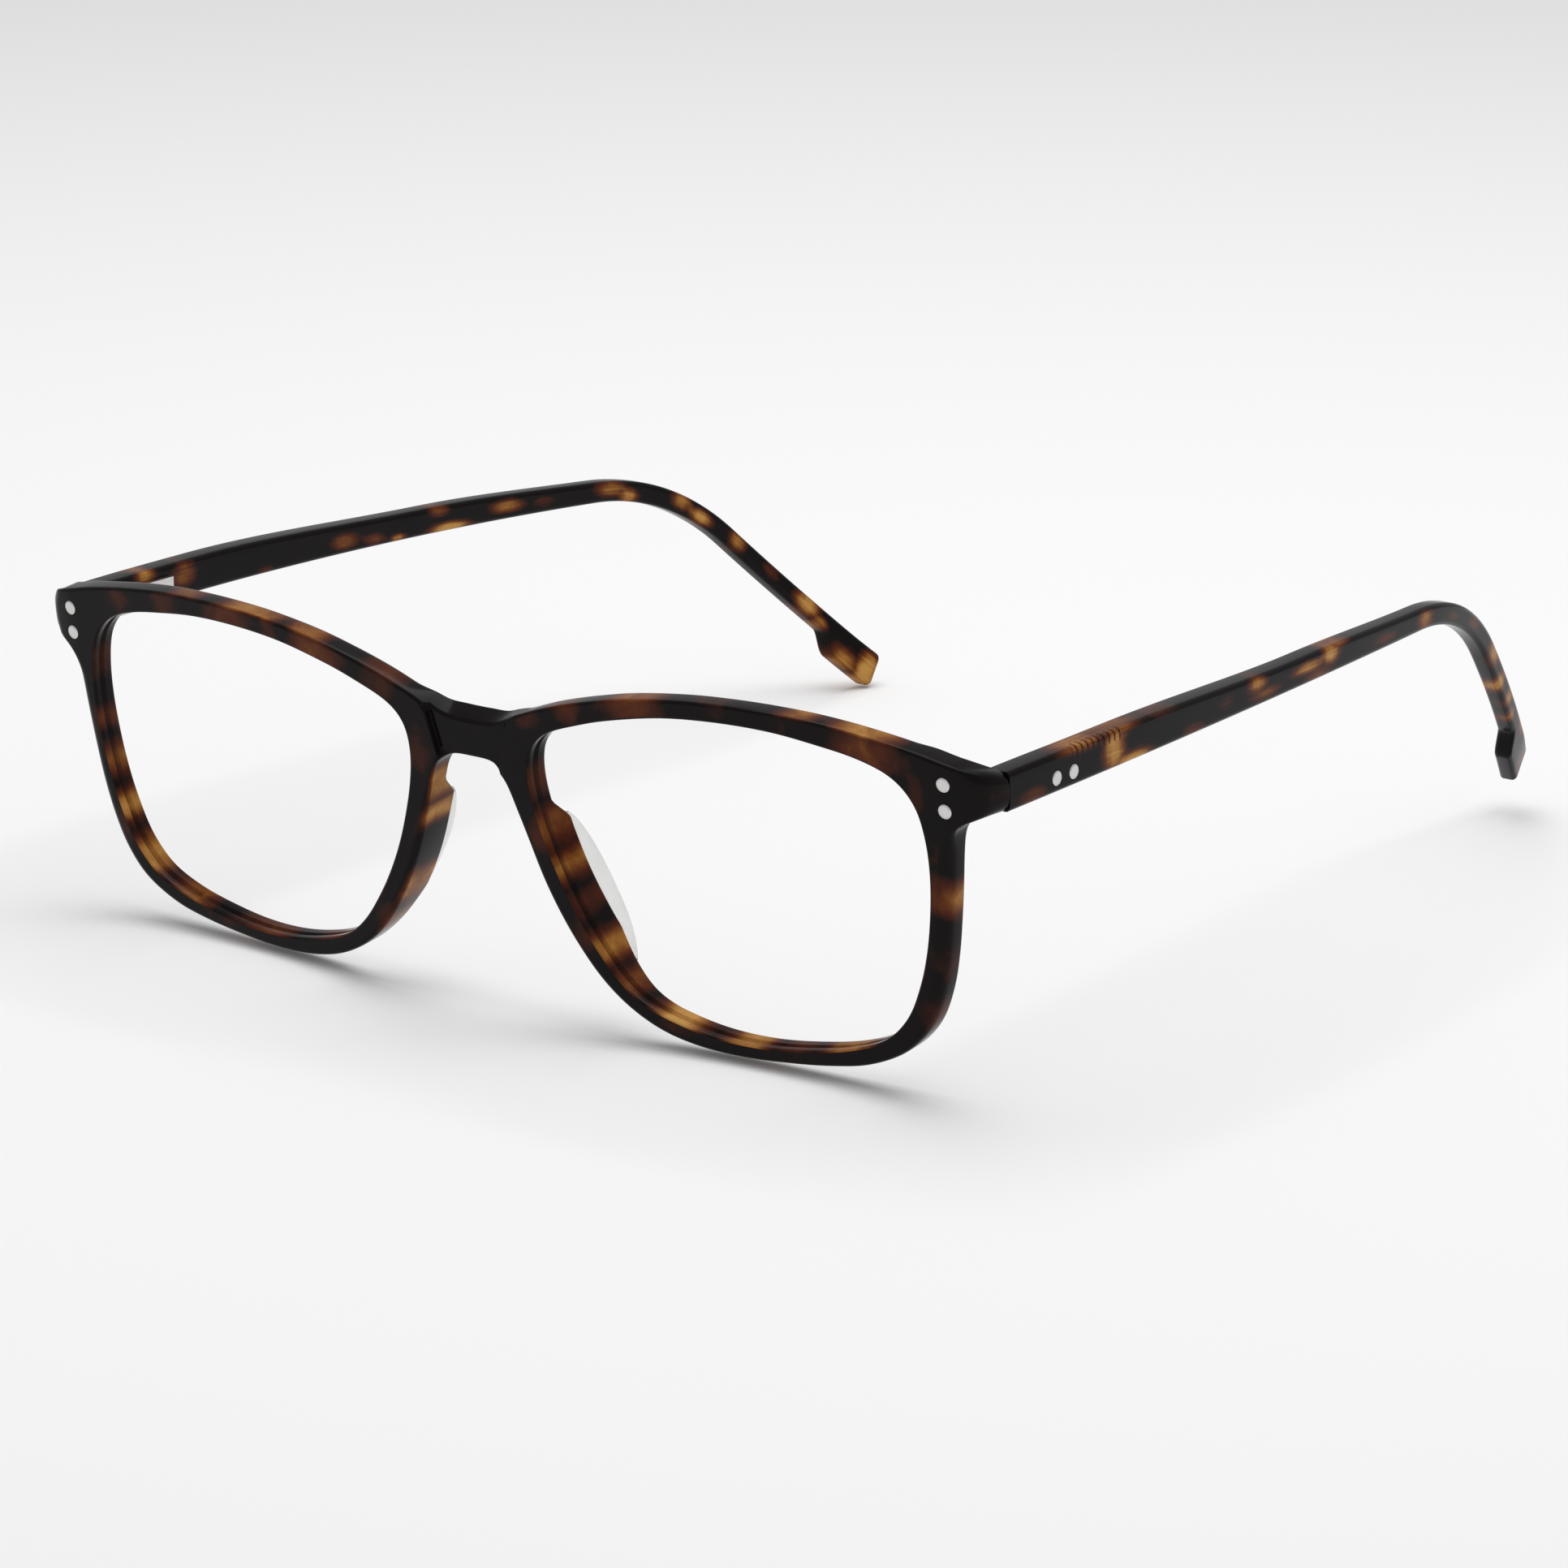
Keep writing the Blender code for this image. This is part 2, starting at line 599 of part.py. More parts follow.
def add_rivet(name, face, inward, length, parent, body):
    """Rivet with a flat head let into the face, and the clearance hole it sits in."""
    stations = [(-RIVET_PROUD, RIVET_HEAD_R - 0.12), (-0.4 * RIVET_PROUD, RIVET_HEAD_R),
                (RIVET_HEAD_DEPTH, RIVET_HEAD_R), (RIVET_HEAD_DEPTH, RIVET_SHANK_R),
                (length, RIVET_SHANK_R)]
    verts, faces = turned(stations, face, inward, (0, 0, 1), 16)
    add_mesh(name, verts, faces, "rivet", parent)
    hole = [(-1.0, RIVET_HEAD_R + HOLE_GAP),
            (RIVET_HEAD_DEPTH + HOLE_GAP, RIVET_HEAD_R + HOLE_GAP),
            (RIVET_HEAD_DEPTH + HOLE_GAP, RIVET_SHANK_R + HOLE_GAP),
            (length + HOLE_GAP, RIVET_SHANK_R + HOLE_GAP)]
    verts, faces = turned(hole, face, inward, (0, 0, 1), 16)
    cutter = add_cutter("cut_" + name, verts, faces, parent)
    boolean(body, cutter)
    return cutter


def build_front_rivets(front, datum, side, word):
    """Two rivets, one over the other, driven from the face into the hinge plate."""
    cutters = []
    for level, z in zip(("upper", "lower"), FRONT_RIVET_Z):
        face = Vector((side * FRONT_RIVET_X, front_y(FRONT_RIVET_X), z))
        inward = -wrap_normal(FRONT_RIVET_X, side)
        name = "front_rivet_%s_%s" % (word, level)
        cutters.append(add_rivet(name, face, inward, RIM_DEPTH + RIVET_GRIP, datum, front))
    return cutters


def build_temple_rivets(axis, side, word, temple):
    """Two rivets side by side, driven from the outer face into the hinge plate."""
    cutters = []
    for level, v in zip(("fore", "aft"), TEMPLE_RIVETS):
        face = Vector((side * (outer_face_x(v) - AXIS_X), v, TEMPLE_RIVET_Z))
        inward = Vector((-side, 0.0, 0.0))
        length = blend_table(v, THICKNESS) + RIVET_GRIP
        name = "temple_rivet_%s_%s" % (word, level)
        cutters.append(add_rivet(name, face, inward, length, axis, temple))
    return cutters


def knuckle(z0, z1, radius):
    return turned([(0.0, radius), (z1 - z0, radius)], (0.0, 0.0, z0), (0, 0, 1), (0, 1, 0), 24)


def build_front_hinge(root, axis, side, word, cutters):
    """Plate on the back of the endpiece carrying the upper and lower knuckles."""
    rings = []
    for x in (61.4, 62.7, 63.9, 65.15):
        y0 = front_y(x) + RIM_DEPTH + 0.03
        rings.append([to_world_of_front(side * x, y, z)
                      for y, z in ((y0, -2.2), (y0 + PLATE, -2.2), (y0 + PLATE, 2.2), (y0, 2.2))])
    verts, faces = loft(rings)
    name = "hinge_front_" + word
    plate = add_mesh(name, verts, faces, "hinge", root)
    half = KNUCKLE_HEIGHT / 2
    for index, direction in enumerate((1, -1)):
        low = HINGE_MID_Z + direction * (KNUCKLE_HEIGHT + KNUCKLE_GAP) - half
        verts, faces = knuckle(low, low + KNUCKLE_HEIGHT, KNUCKLE_R)
        part = add_cutter("%s_knuckle_%d" % (name, index), verts, faces, axis)
        boolean(plate, part, "UNION")
        ring = [(-1.1, -1.65), (1.0, -1.65), (1.05, 0.1), (-1.1, 0.1)]
        ends = (low + LUG_INSET, low + KNUCKLE_HEIGHT - LUG_INSET)
        lug = loft([[(side * x, y, z) for x, y in ring] for z in ends])
        boolean(plate, add_cutter("%s_lug_%d" % (name, index), *lug, axis), "UNION")
    reach = 1.5 * KNUCKLE_HEIGHT + KNUCKLE_GAP
    ends = (HINGE_MID_Z - reach - 1, HINGE_MID_Z + reach + 1)
    verts, faces = knuckle(*ends, SCREW_R + SCREW_GAP)
    bore = add_cutter(name + "_bore", verts, faces, axis)
    boolean(plate, bore)
    for cutter in cutters:
        boolean(plate, cutter)
    top = HINGE_MID_Z + reach
    stations = [(-2 * reach, SCREW_R), (0.03, SCREW_R), (0.03, SCREW_HEAD_R),
                (SCREW_HEAD - 0.1, SCREW_HEAD_R), (SCREW_HEAD, SCREW_HEAD_R - 0.12)]
    verts, faces = turned(stations, (0.0, 0.0, top), (0, 0, 1), (0, 1, 0), 20)
    screw = add_mesh("hinge_screw_" + word, verts, faces, "screw", axis)
    slot = box(-1.2, 1.2, -0.11, 0.11, top + SCREW_HEAD - 0.22, top + SCREW_HEAD + 0.2)
    boolean(screw, add_cutter("cut_slot_" + word, *slot, axis))
    screw.parent = root
    screw.location = axis.location
    screw.rotation_euler = axis.rotation_euler


def build_temple_hinge(axis, side, word, cutters):
    """Plate on the inner face of the temple with the middle knuckle."""
    inner = TEMPLE_FACE_X - 3.4 - AXIS_X
    rings = []
    for v in (1.0, 5.0, 9.0, 13.6):
        x1 = outer_face_x(v) - blend_table(v, THICKNESS) - AXIS_X - 0.03
        middle = TEMPLE_RIVET_Z
        ring = [(x1 - PLATE, middle - 1.5), (x1, middle - 1.5), (x1, middle + 1.5),
                (x1 - PLATE, middle + 1.5)]
        rings.append([(side * x, v, z) for x, z in ring])
    verts, faces = loft(rings)
    name = "hinge_temple_" + word
    plate = add_mesh(name, verts, faces, "hinge", axis)
    half = KNUCKLE_HEIGHT / 2
    low, high = HINGE_MID_Z - half, HINGE_MID_Z + half
    ring = [(-0.3, 0.2), (inner - 0.35, 1.2), (inner - 0.35, 2.4), (-0.9, 0.75)]
    ends = (low + LUG_INSET, high - LUG_INSET)
    verts, faces = loft([[(side * x, y, z) for x, y in ring] for z in ends])
    boolean(plate, add_cutter(name + "_lug", verts, faces, axis), "UNION")
    verts, faces = knuckle(low, high, KNUCKLE_R)
    boolean(plate, add_cutter(name + "_knuckle", verts, faces, axis), "UNION")
    verts, faces = knuckle(low - 1, high + 1, SCREW_R + SCREW_GAP)
    boolean(plate, add_cutter(name + "_bore", verts, faces, axis))
    for cutter in cutters:
        boolean(plate, cutter)


def build():
    for old in list(bpy.data.objects):
        bpy.data.objects.remove(old, do_unlink=True)
    root = add_empty("frame_root", (0, 0, 0))
    datum = add_empty("front_datum", (0, 0, 0), root, (LEAN, 0.0, 0.0))
    verts, faces = front_shape()
    front = add_mesh("front_frame", verts, faces, "acetate", datum)

    for side, word in ((1, "right"), (-1, "left")):
        verts, faces = pad_shape(side)
        add_mesh("nose_pad_" + word, verts, faces, "pad", datum)
        cutters = build_front_rivets(front, datum, side, word)

        axis = add_empty("temple_axis_" + word, (side * AXIS_X, AXIS_Y, 0.0), root,
                         (side * TEMPLE_SET, 0.0, 0.0))
        build_front_hinge(root, axis, side, word, cutters)

        verts, faces = temple_shape(side)
        verts = [(x - side * AXIS_X, y - AXIS_Y, z) for x, y, z in verts]
        temple = add_mesh("temple_" + word, verts, faces, "acetate", axis)
        cutters = build_temple_rivets(axis, side, word, temple)
        build_temple_hinge(axis, side, word, cutters)

        rows = [row for row in temple_low_edge() if row[3] < CORE_LENGTH]
        rings = [core_ring(row, CORE_R) for row in rows]
        rings[0] = [(x, y + 0.4, z) for x, y, z in rings[0]]
        rings = [[(side * x - side * AXIS_X, y - AXIS_Y, z) for x, y, z in r] for r in rings]
        verts, faces = loft(rings)
        add_mesh("temple_core_" + word, verts, faces, "core", axis)

    bpy.context.view_layer.update()
    graph = bpy.context.evaluated_depsgraph_get()
    low = Vector((1.0, 1.0, 1.0))
    high = -low
    for body in bpy.data.objects:
        if body.type != "MESH" or body.hide_render:
            continue
        mesh = body.evaluated_get(graph).to_mesh()
        for vertex in mesh.vertices:
            p = body.matrix_world @ vertex.co
            low = Vector(map(min, low, p))
            high = Vector(map(max, high, p))
    root.location = (-(low.x + high.x) / 2, -(low.y + high.y) / 2, -low.z)


build()
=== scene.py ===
"""Looks of the tortoiseshell acetate eyeglasses frame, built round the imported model.

Lengths of the pieces are in millimetres, and are scaled to metres when a mesh is made.
The studio is in metres.  The front is drawn in its own leaning plane and each temple in
side view from its joint.  The front and the temples carry two values on their points
that their material reads: "tone", how far the tortoiseshell runs from black to gold,
and "grain", the place in the sheet that the piece was cut from.
"""

import json
import math

import bmesh
import bpy
import numpy as np
from mathutils import Matrix, Vector
from mathutils.geometry import delaunay_2d_cdt


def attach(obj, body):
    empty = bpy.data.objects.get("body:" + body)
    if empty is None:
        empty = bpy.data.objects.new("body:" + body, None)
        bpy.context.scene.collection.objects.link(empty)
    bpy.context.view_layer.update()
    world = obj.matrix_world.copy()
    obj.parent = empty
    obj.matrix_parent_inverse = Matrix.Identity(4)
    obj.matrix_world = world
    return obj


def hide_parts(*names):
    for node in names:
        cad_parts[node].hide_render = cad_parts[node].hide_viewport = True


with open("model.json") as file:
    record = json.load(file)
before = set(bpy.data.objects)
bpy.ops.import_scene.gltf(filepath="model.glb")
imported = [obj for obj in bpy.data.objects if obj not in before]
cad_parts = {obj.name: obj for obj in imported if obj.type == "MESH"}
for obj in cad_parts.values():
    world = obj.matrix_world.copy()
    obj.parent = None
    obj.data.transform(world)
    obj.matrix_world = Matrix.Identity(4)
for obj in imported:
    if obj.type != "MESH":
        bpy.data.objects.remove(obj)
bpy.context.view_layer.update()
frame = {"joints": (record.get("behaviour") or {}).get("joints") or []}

MM = 0.001
SHARP_ANGLE = math.radians(32)
QUARTER = 0.5 * math.pi
SIDES = ((1, "right"), (-1, "left"))

# -------- the part's frame
AXIS_X = 64.0
JOINT_Y = 9.2
AXIS_Y = JOINT_Y + 0.25
JOINTS = {joint["name"]: joint for joint in frame["joints"]}
RIGHT_PIVOT = Vector(JOINTS["temple_fold_right"]["pos_m"]) / MM
ROOT = RIGHT_PIVOT - Vector((AXIS_X, AXIS_Y, 0.0))
LEAN = math.radians(6.6)
TEMPLE_SET = math.asin(-JOINTS["temple_fold_right"]["axis"][1])

# -------- front
BASE_2 = 1.344e-3
BASE_4 = -8.1e-8
END_WRAP = 0.03
END_WRAP_X = 63.5
RIM_DEPTH = 3.2
RETURN_X = 65.6
RETURN_WIDTH = 0.3
SIDE_FLARE = 1.0
END_MID_Z = 0.35  # the back of an endpiece narrows about this height,
END_DROP = -0.31  # which moves here at the joint,
END_SHARE = 0.786  # where this share of its own height is left
BRIDGE_SET_BACK = 0.75
SET_BACK_END_Z = -6.2  # faded out here, and whole 1 mm higher
NASAL_BUILD = 2.1  # extra depth of the nasal rims, under the pads
NASAL_REACH_X = 40.0
NASAL_TOP = (-9.7, 2.3)  # upper end and run-in
NASAL_END = (-32.0, 7.5)  # lower end and run-out
BRIDGE_RISE = 1.6  # from the face of the bridge to its back
BRIDGE_RISE_X = (9.0, 7.5)  # outer end and run-out
BRIDGE_RISE_Z = (-3.6, 2.2)  # lower end and run-in
STEP_WIDTH = 0.3
LINE_STEP = 0.55  # spacing of points along the outlines
GRID_STEP = 1.0  # spacing of points across the faces
EDGE_STEPS = 7
SUPPORT = 0.12  # flat margin beside each rounded edge
INSET_STEP = 0.12
OUTLINE_EASE = 12  # rounds of evening out for the outline
OPENING_EASE = 20  # and for the openings
OUTER_HALF = [
    (0, -1.1), (2.6, -1), (4.6, -0.4), (6.6, 0.9), (9.5, 2.1), (13, 3.3), (17.5, 4.5), (23, 5.65),
    (30, 6.5), (36, 6.8), (42, 6.8), (48, 6.5), (54, 5.8), (60, 4.8), (64.6, 3.75), (67, 3.15),
    (67.8, 2.7), (68, 1.9), (68, -1.2), (67.7, -2), (66.9, -2.5), (65.8, -3), (64.9, -3.8),
    (64.4, -5.2), (64.05, -7.6), (63.7, -11), (63.2, -15), (62.5, -19.5), (61.45, -23.7),
    (59.6, -27.8), (56.3, -31.2), (51.5, -33.5), (46.6, -34.5), (41, -35.1), (35, -35.4),
    (29, -35.1), (24, -34), (19.8, -31.95), (16.4, -29.2), (13.6, -25.8), (11.3, -22.2),
    (9.3, -18.2), (7.7, -14), (6.3, -10), (5.3, -7.2), (4.2, -5.8), (2.6, -5.2), (0, -5.1),
]
OPENING = [
    (35, 4.6), (42, 4.5), (48, 3.8), (53.5, 2.8), (57.5, 1.2), (59.9, -1.4), (61, -5),
    (61.3, -9.5), (60.9, -14.5), (60.1, -19), (58.9, -23), (57.1, -26.8), (54.2, -29.8),
    (50, -31.6), (45, -32.7), (38, -33.5), (31.5, -33.3), (25.5, -32.1), (21.6, -30.6),
    (18.7, -28.2), (16.2, -25), (14.1, -21.7), (12.2, -18), (10.7, -14.2), (9.3, -9.5),
    (8.8, -5.5), (9.5, -2.3), (11.6, -0.3), (16.3, 1.5), (21, 2.8), (28, 4.1),
]
OPENING_EDGE = 0.3
OPENING_BACK_EDGE = 0.35
# Section of the lens groove: (depth into the rim, distance from a face, from the back).
GROOVE = [(0.0, 0.6, False), (0.0, 0.95, False), (0.44, 1.32, False), (0.5, 1.4, False),
          (0.44, 1.48, False), (0.0, 1.85, False), (0.0, 0.7, True)]

# -------- temples
TEMPLE_FACE_X = 69.0
TEMPLE_GAP = 0.06
JOINT_END_EDGE = 0.06  # small rounding of the end at the joint
LOW_Z = -1.5
LOW_SLOPE = 0.018
LOW_BOW = -0.344e-3
BEND_START = 89.6
BEND_R = 33.0
DROP_ANGLE = math.radians(43.5)
DROP_LENGTH = 18.3
PADDLE_LENGTH = 11.8
PADDLE_LEAN = 0.9  # the upper corner of the tip ends this much sooner
TIP_CORNER = 1.6  # rounding of the tip's lower corner, seen from the side
INWARD_1 = -0.029
INWARD_2 = 0.949e-3
INWARD_3 = 2.9e-3
INWARD_3_START = 91.6
BEND_LENGTH = BEND_R * DROP_ANGLE
PADDLE_START = BEND_START + BEND_LENGTH + DROP_LENGTH
HEIGHT = [(0, 4.5), (20, 4.4), (60, 3.4), (95, 2.7), (115, 2.5), (140, 2.5)]
THICKNESS = [(0, 3.4), (30, 3.2), (90, 2.7), (140, 2.5)]
PADDLE_DROP = [(PADDLE_START, 0), (PADDLE_START + 3.4, 2.1), (PADDLE_START + 20, 1.9)]
CORNER_R = 0.65
CORNER_STEPS = 6
END_ROUND = 0.9
END_SHRINK = 0.85  # most that the tip's last section is drawn in
CORE_R = 0.5
CORE_GAP = 0.04
CORE_RISE = 0.72  # share of the height where the core lies at the hinge
CORE_FALL = 30.0  # it sinks to mid height over 1 to 2 times this
CORE_BORE = 6.0
CORE_START = 0.3
CORE_LENGTH = 122.0
CORE_NOTCH = (11.0, 21.0, 0.08)  # from, to, depth

# -------- rivets and hinges
RIVET_HEAD_R = 0.84
RIVET_HEAD_DEPTH = 0.35
RIVET_SHANK_R = 0.5
RIVET_PROUD = 0.1
RIVET_GRIP = 0.45
HOLE_GAP = 0.04
FRONT_RIVET_X = 64.0
FRONT_RIVET_Z = {"upper": 1.53, "lower": -1.53}
TEMPLE_RIVETS = {"fore": 8.2, "aft": 11.3}
TEMPLE_RIVET_Z = 0.35
KNUCKLE_R = 1.15
KNUCKLE_HEIGHT = 1.4
KNUCKLE_GAP = 0.06
HINGE_REACH = 1.5 * KNUCKLE_HEIGHT + KNUCKLE_GAP
LUG_INSET = 0.1
HINGE_MID_Z = 0.35
SCREW_R = 0.5
SCREW_GAP = 0.04
SCREW_HEAD_R = 0.85
SCREW_HEAD = 0.4
PLATE = 0.7
PLATE_GAP = 0.03
PLATE_SECTIONS = 9
FRONT_PLATE_X = (61.4, 65.15)
FRONT_PLATE_HALF = 2.2
TEMPLE_PLATE_V = (1.0, 13.6)
TEMPLE_PLATE_HALF = 1.5
BORE_OVERRUN = 1.0
HINGE_EDGE = 0.07
SLOT_HALF = 0.11
SLOT_DEPTH = 0.22

# -------- nose pads
PAD_TOP = (8.9, -12.2)
PAD_BOTTOM = (17.5, -28.4)
PAD_GAP = 0.03

# -------- tortoiseshell patches
GROUND = 0.10  # tone between the patches on the faces and the temples
SIDE_GROUND = 0.12
WALL_GROUND = 0.26
PATCH_FALL = 0.7
# Front patches: (x, z, reach in x, reach in z, tone), in the front's own plane.
FACE_PATCHES = [
    (-55.5, 4.6, 2.2, 2.2, 0.46), (-47, 5.6, 2.4, 2.4, 0.50), (-36.5, 5.4, 4.6, 3, 0.56),
    (-29.5, 4.6, 1.8, 3, 0.44), (-22.5, 3.6, 4.8, 3, 0.63), (-13, 1.6, 3.4, 3.4, 0.42),
    (-7.6, -5, 2, 3.2, 0.46), (-8, -16, 2.4, 3, 0.40), (-15, -27, 3, 3, 0.42),
    (-44, -33.8, 5, 1.6, 0.34), (-61.8, -13, 2.4, 3.4, 0.36), (-59, -25, 2.4, 3, 0.40),
    (9, 1.6, 2.4, 2.2, 0.44), (15.2, 3.4, 2.2, 2.4, 0.52), (23.6, 5.2, 4.6, 3, 0.60),
    (36, 6.2, 3, 2, 0.30), (45.5, 5.6, 2.6, 2, 0.36), (54.6, 4, 4.6, 3, 0.62),
    (60.2, -0.5, 1.4, 3, 0.46), (62.6, -6.6, 2, 2, 0.38), (62.6, -11.6, 2.6, 2.8, 0.60),
    (61.6, -19, 2.2, 2.4, 0.30), (60, -26, 2.6, 2.4, 0.40), (44, -34, 5, 1.6, 0.32),
    (26, -32.8, 4, 2, 0.34), (9.8, -12.5, 2, 2.6, 0.46), (14.6, -24.4, 2.2, 2.8, 0.40),
]
# Patches on the walls of the lens openings.
WALL_PATCHES = [
    (-59.2, -12, 2.6, 1.6, 0.70), (-58.8, -17, 2.6, 2.2, 0.86), (-57.8, -22.6, 2.8, 1.8, 0.96),
    (-55.4, -28.4, 2.8, 2.4, 0.92), (-49, -32.2, 3.4, 2.2, 0.74), (-36, -34, 4, 2, 0.60),
    (-24, -31.6, 4, 2.4, 0.56), (-61.4, -5, 2, 2.2, 0.42), (10.4, -6.5, 2.4, 2, 0.66),
    (11.6, -11.6, 2.6, 2.4, 0.82), (13, -16.2, 2.4, 1.7, 0.94), (15, -20.2, 2, 1.4, 0.60),
    (17.2, -25.4, 2.4, 1.8, 0.84), (20.2, -28.8, 2.2, 1.6, 0.72), (26.4, -32, 3.2, 2.2, 1.00),
    (35.6, -33.6, 2.8, 2, 0.92), (49, -32, 3.6, 2, 0.84), (42, -33.4, 2.4, 1.8, 0.50),
    (58.6, -22, 3, 3, 0.62), (-14, -22, 3, 4, 0.70),
]
# Patches on the outer walls: the top edge, the sides and the two flanks of the nose.
SIDE_PATCHES = [
    (-44, 6.6, 3, 2.4, 0.66), (-33, 6.4, 5, 2.4, 0.84), (-24, 5.4, 3.4, 2.4, 0.78),
    (-12, 3, 4, 2.4, 0.50), (14, 3.4, 3, 2.4, 0.56), (24, 5.8, 4.4, 2.4, 0.70),
    (34, 6.8, 2.6, 2, 0.40), (45.5, 6.6, 2.6, 2, 0.76), (53.6, 5.8, 4.4, 2.2, 0.88),
    (64, -12.4, 2.4, 2.4, 0.86), (63, -20, 2.4, 3, 0.40), (60.4, -26.6, 2.4, 2.4, 0.50),
    (-6.6, -9.4, 2.6, 2.8, 0.88), (-8, -13.4, 2.6, 1.6, 0.94), (-12.6, -22.6, 3, 3.2, 0.84),
    (-16, -28.4, 3, 2.2, 0.70), (6.6, -9.4, 2.6, 2.8, 0.84), (9.4, -16.6, 2.6, 2.6, 0.56),
    (12.6, -23, 3, 3, 0.84), (38, -35.4, 5, 2, 0.60), (-40, -35.2, 5, 2, 0.56),
    (69, 0.4, 1.2, 1.6, 0.40), (-64, -14, 2.4, 3, 0.62), (-62, -24, 2.4, 3, 0.50),
]
# Temple patches: (distance along, share of the height, reach along, reach up in mm, tone).
TEMPLE_PATCHES = {
    "right": [
        (4, 0.20, 2.6, 1, 0.62), (13.5, 0.96, 4.4, 0.8, 0.80), (19.2, 0.52, 2.2, 2.6, 0.98),
        (22.6, 0.10, 3.4, 0.9, 1.00), (20, 0.98, 5, 0.7, 0.70), (29, 0.95, 3.4, 0.6, 0.46),
        (35, 0.14, 2.8, 0.8, 0.60), (42, 0.55, 2, 1, 0.36), (48.6, 0.74, 2.2, 0.9, 0.92),
        (50, 0.36, 3.6, 0.7, 0.72), (60.4, 0.60, 4, 0.8, 0.86), (65.4, 0.74, 2.2, 1.2, 0.96),
        (62, 0.20, 3, 0.6, 0.70), (67, 0.98, 3.4, 0.6, 0.70), (79, 0.46, 3.6, 0.7, 0.56),
        (90, 0.50, 2.2, 1.1, 0.88), (98, 0.40, 2, 0.8, 0.56), (105, 0.60, 2, 1, 0.60),
        (114.6, 0.62, 2.6, 1.3, 0.86), (120.6, 0.30, 1.8, 1.4, 0.92),
        (125.6, 0.55, 1.6, 1.2, 0.90), (129.2, 0.30, 1.4, 1, 0.84), (134, 0.92, 2.8, 0.8, 0.72),
        (141, 0.60, 1.4, 1.4, 0.60),
    ],
    "left": [
        (9.8, 0.85, 1.8, 1, 0.84), (16.6, 0.60, 2.2, 1.8, 0.74), (31, 0.12, 1.6, 0.6, 0.50),
        (45, 0.42, 2.4, 1.2, 0.72), (50.2, 0.30, 2, 0.8, 0.62), (54.4, 0.14, 1.4, 0.7, 0.88),
        (61.6, 0.86, 2, 0.8, 0.74), (63.6, 0.16, 3.8, 0.7, 1.00), (73.4, 0.56, 3, 0.9, 0.86),
        (80, 0.50, 2, 0.8, 0.48), (91.6, 0.62, 2.6, 1, 0.82), (94.6, 0.30, 1.6, 1, 0.92),
        (103.6, 0.66, 1.8, 1.2, 0.84), (107.2, 0.40, 2.2, 1, 1.00), (114.2, 0.55, 1.8, 1.3, 0.88),
        (121, 0.60, 1.8, 0.9, 0.52), (128.6, 0.50, 2.4, 1.4, 1.00), (131.6, 0.20, 1.6, 0.9, 0.84),
        (137.6, 0.16, 2.6, 0.9, 0.80), (141.6, 0.30, 2.2, 1.6, 1.00),
    ],
}
# Dark ticks over the notched core, in millimetres along, up and across a temple.
CORE_MARKS = {"middle": 15.9, "half": 4.6, "pitch": 1.0, "height": 3.2, "across": 2.2,
              "darkening": 0.28}


# ======== helpers
def ramp(value):
    return min(1.0, max(0.0, value))


def smooth(value):
    value = ramp(value)
    return value * value * (3 - 2 * value)


def blend_table(value, table):
    for (a, va), (b, vb) in zip(table, table[1:]):
        if value <= b:
            return va + (vb - va) * smooth((value - a) / (b - a))
    return table[-1][1]


def to_row(point):
    """A point in the part's own millimetres, in the row frame."""
    return Vector(point) + ROOT


def from_front(point):
    """A point of the leaning front, in the row frame."""
    x, y, z = point
    return to_row((x, y * math.cos(LEAN) - z * math.sin(LEAN),
                   y * math.sin(LEAN) + z * math.cos(LEAN)))


def hinge_place(side):
    """From millimetres round the pin to the row frame."""
    turn = Matrix.Rotation(side * TEMPLE_SET, 4, "X")
    return Matrix.Translation(ROOT + Vector((side * AXIS_X, AXIS_Y, 0.0))) @ turn


def temple_matrix(side):
    """From a temple drawn level, to its place in the row frame."""
    return hinge_place(side) @ Matrix.Translation((-side * AXIS_X, -AXIS_Y, 0.0))


def placed(place, side, points):
    """Points drawn for the right side, mirrored for the left and put in place."""
    return [place @ Vector((side * x, y, z)) for x, y, z in points]


def new_piece(name, verts, faces, material=None):
    """Closed smooth-shaded mesh from points in row-frame millimetres."""
    bm = bmesh.new()
    points = [bm.verts.new(Vector(v) * MM) for v in verts]
    for face in faces:
        bm.faces.new([points[i] for i in face])
    bmesh.ops.recalc_face_normals(bm, faces=bm.faces[:])
    mesh = bpy.data.meshes.new(name)
    bm.to_mesh(mesh)
    bm.free()
    mesh.shade_smooth()
    mesh.set_sharp_from_angle(angle=SHARP_ANGLE)
    if material is not None:
        mesh.materials.append(material)
    piece = bpy.data.objects.new(name, mesh)
    bpy.context.scene.collection.objects.link(piece)
    return piece


def set_values(piece, tones, grains):
    tone = piece.data.attributes.new("tone", "FLOAT", "POINT")
    tone.data.foreach_set("value", np.array(tones, np.float32))
    grain = piece.data.attributes.new("grain", "FLOAT_VECTOR", "POINT")
    grain.data.foreach_set("vector", np.array(grains, np.float32).ravel())


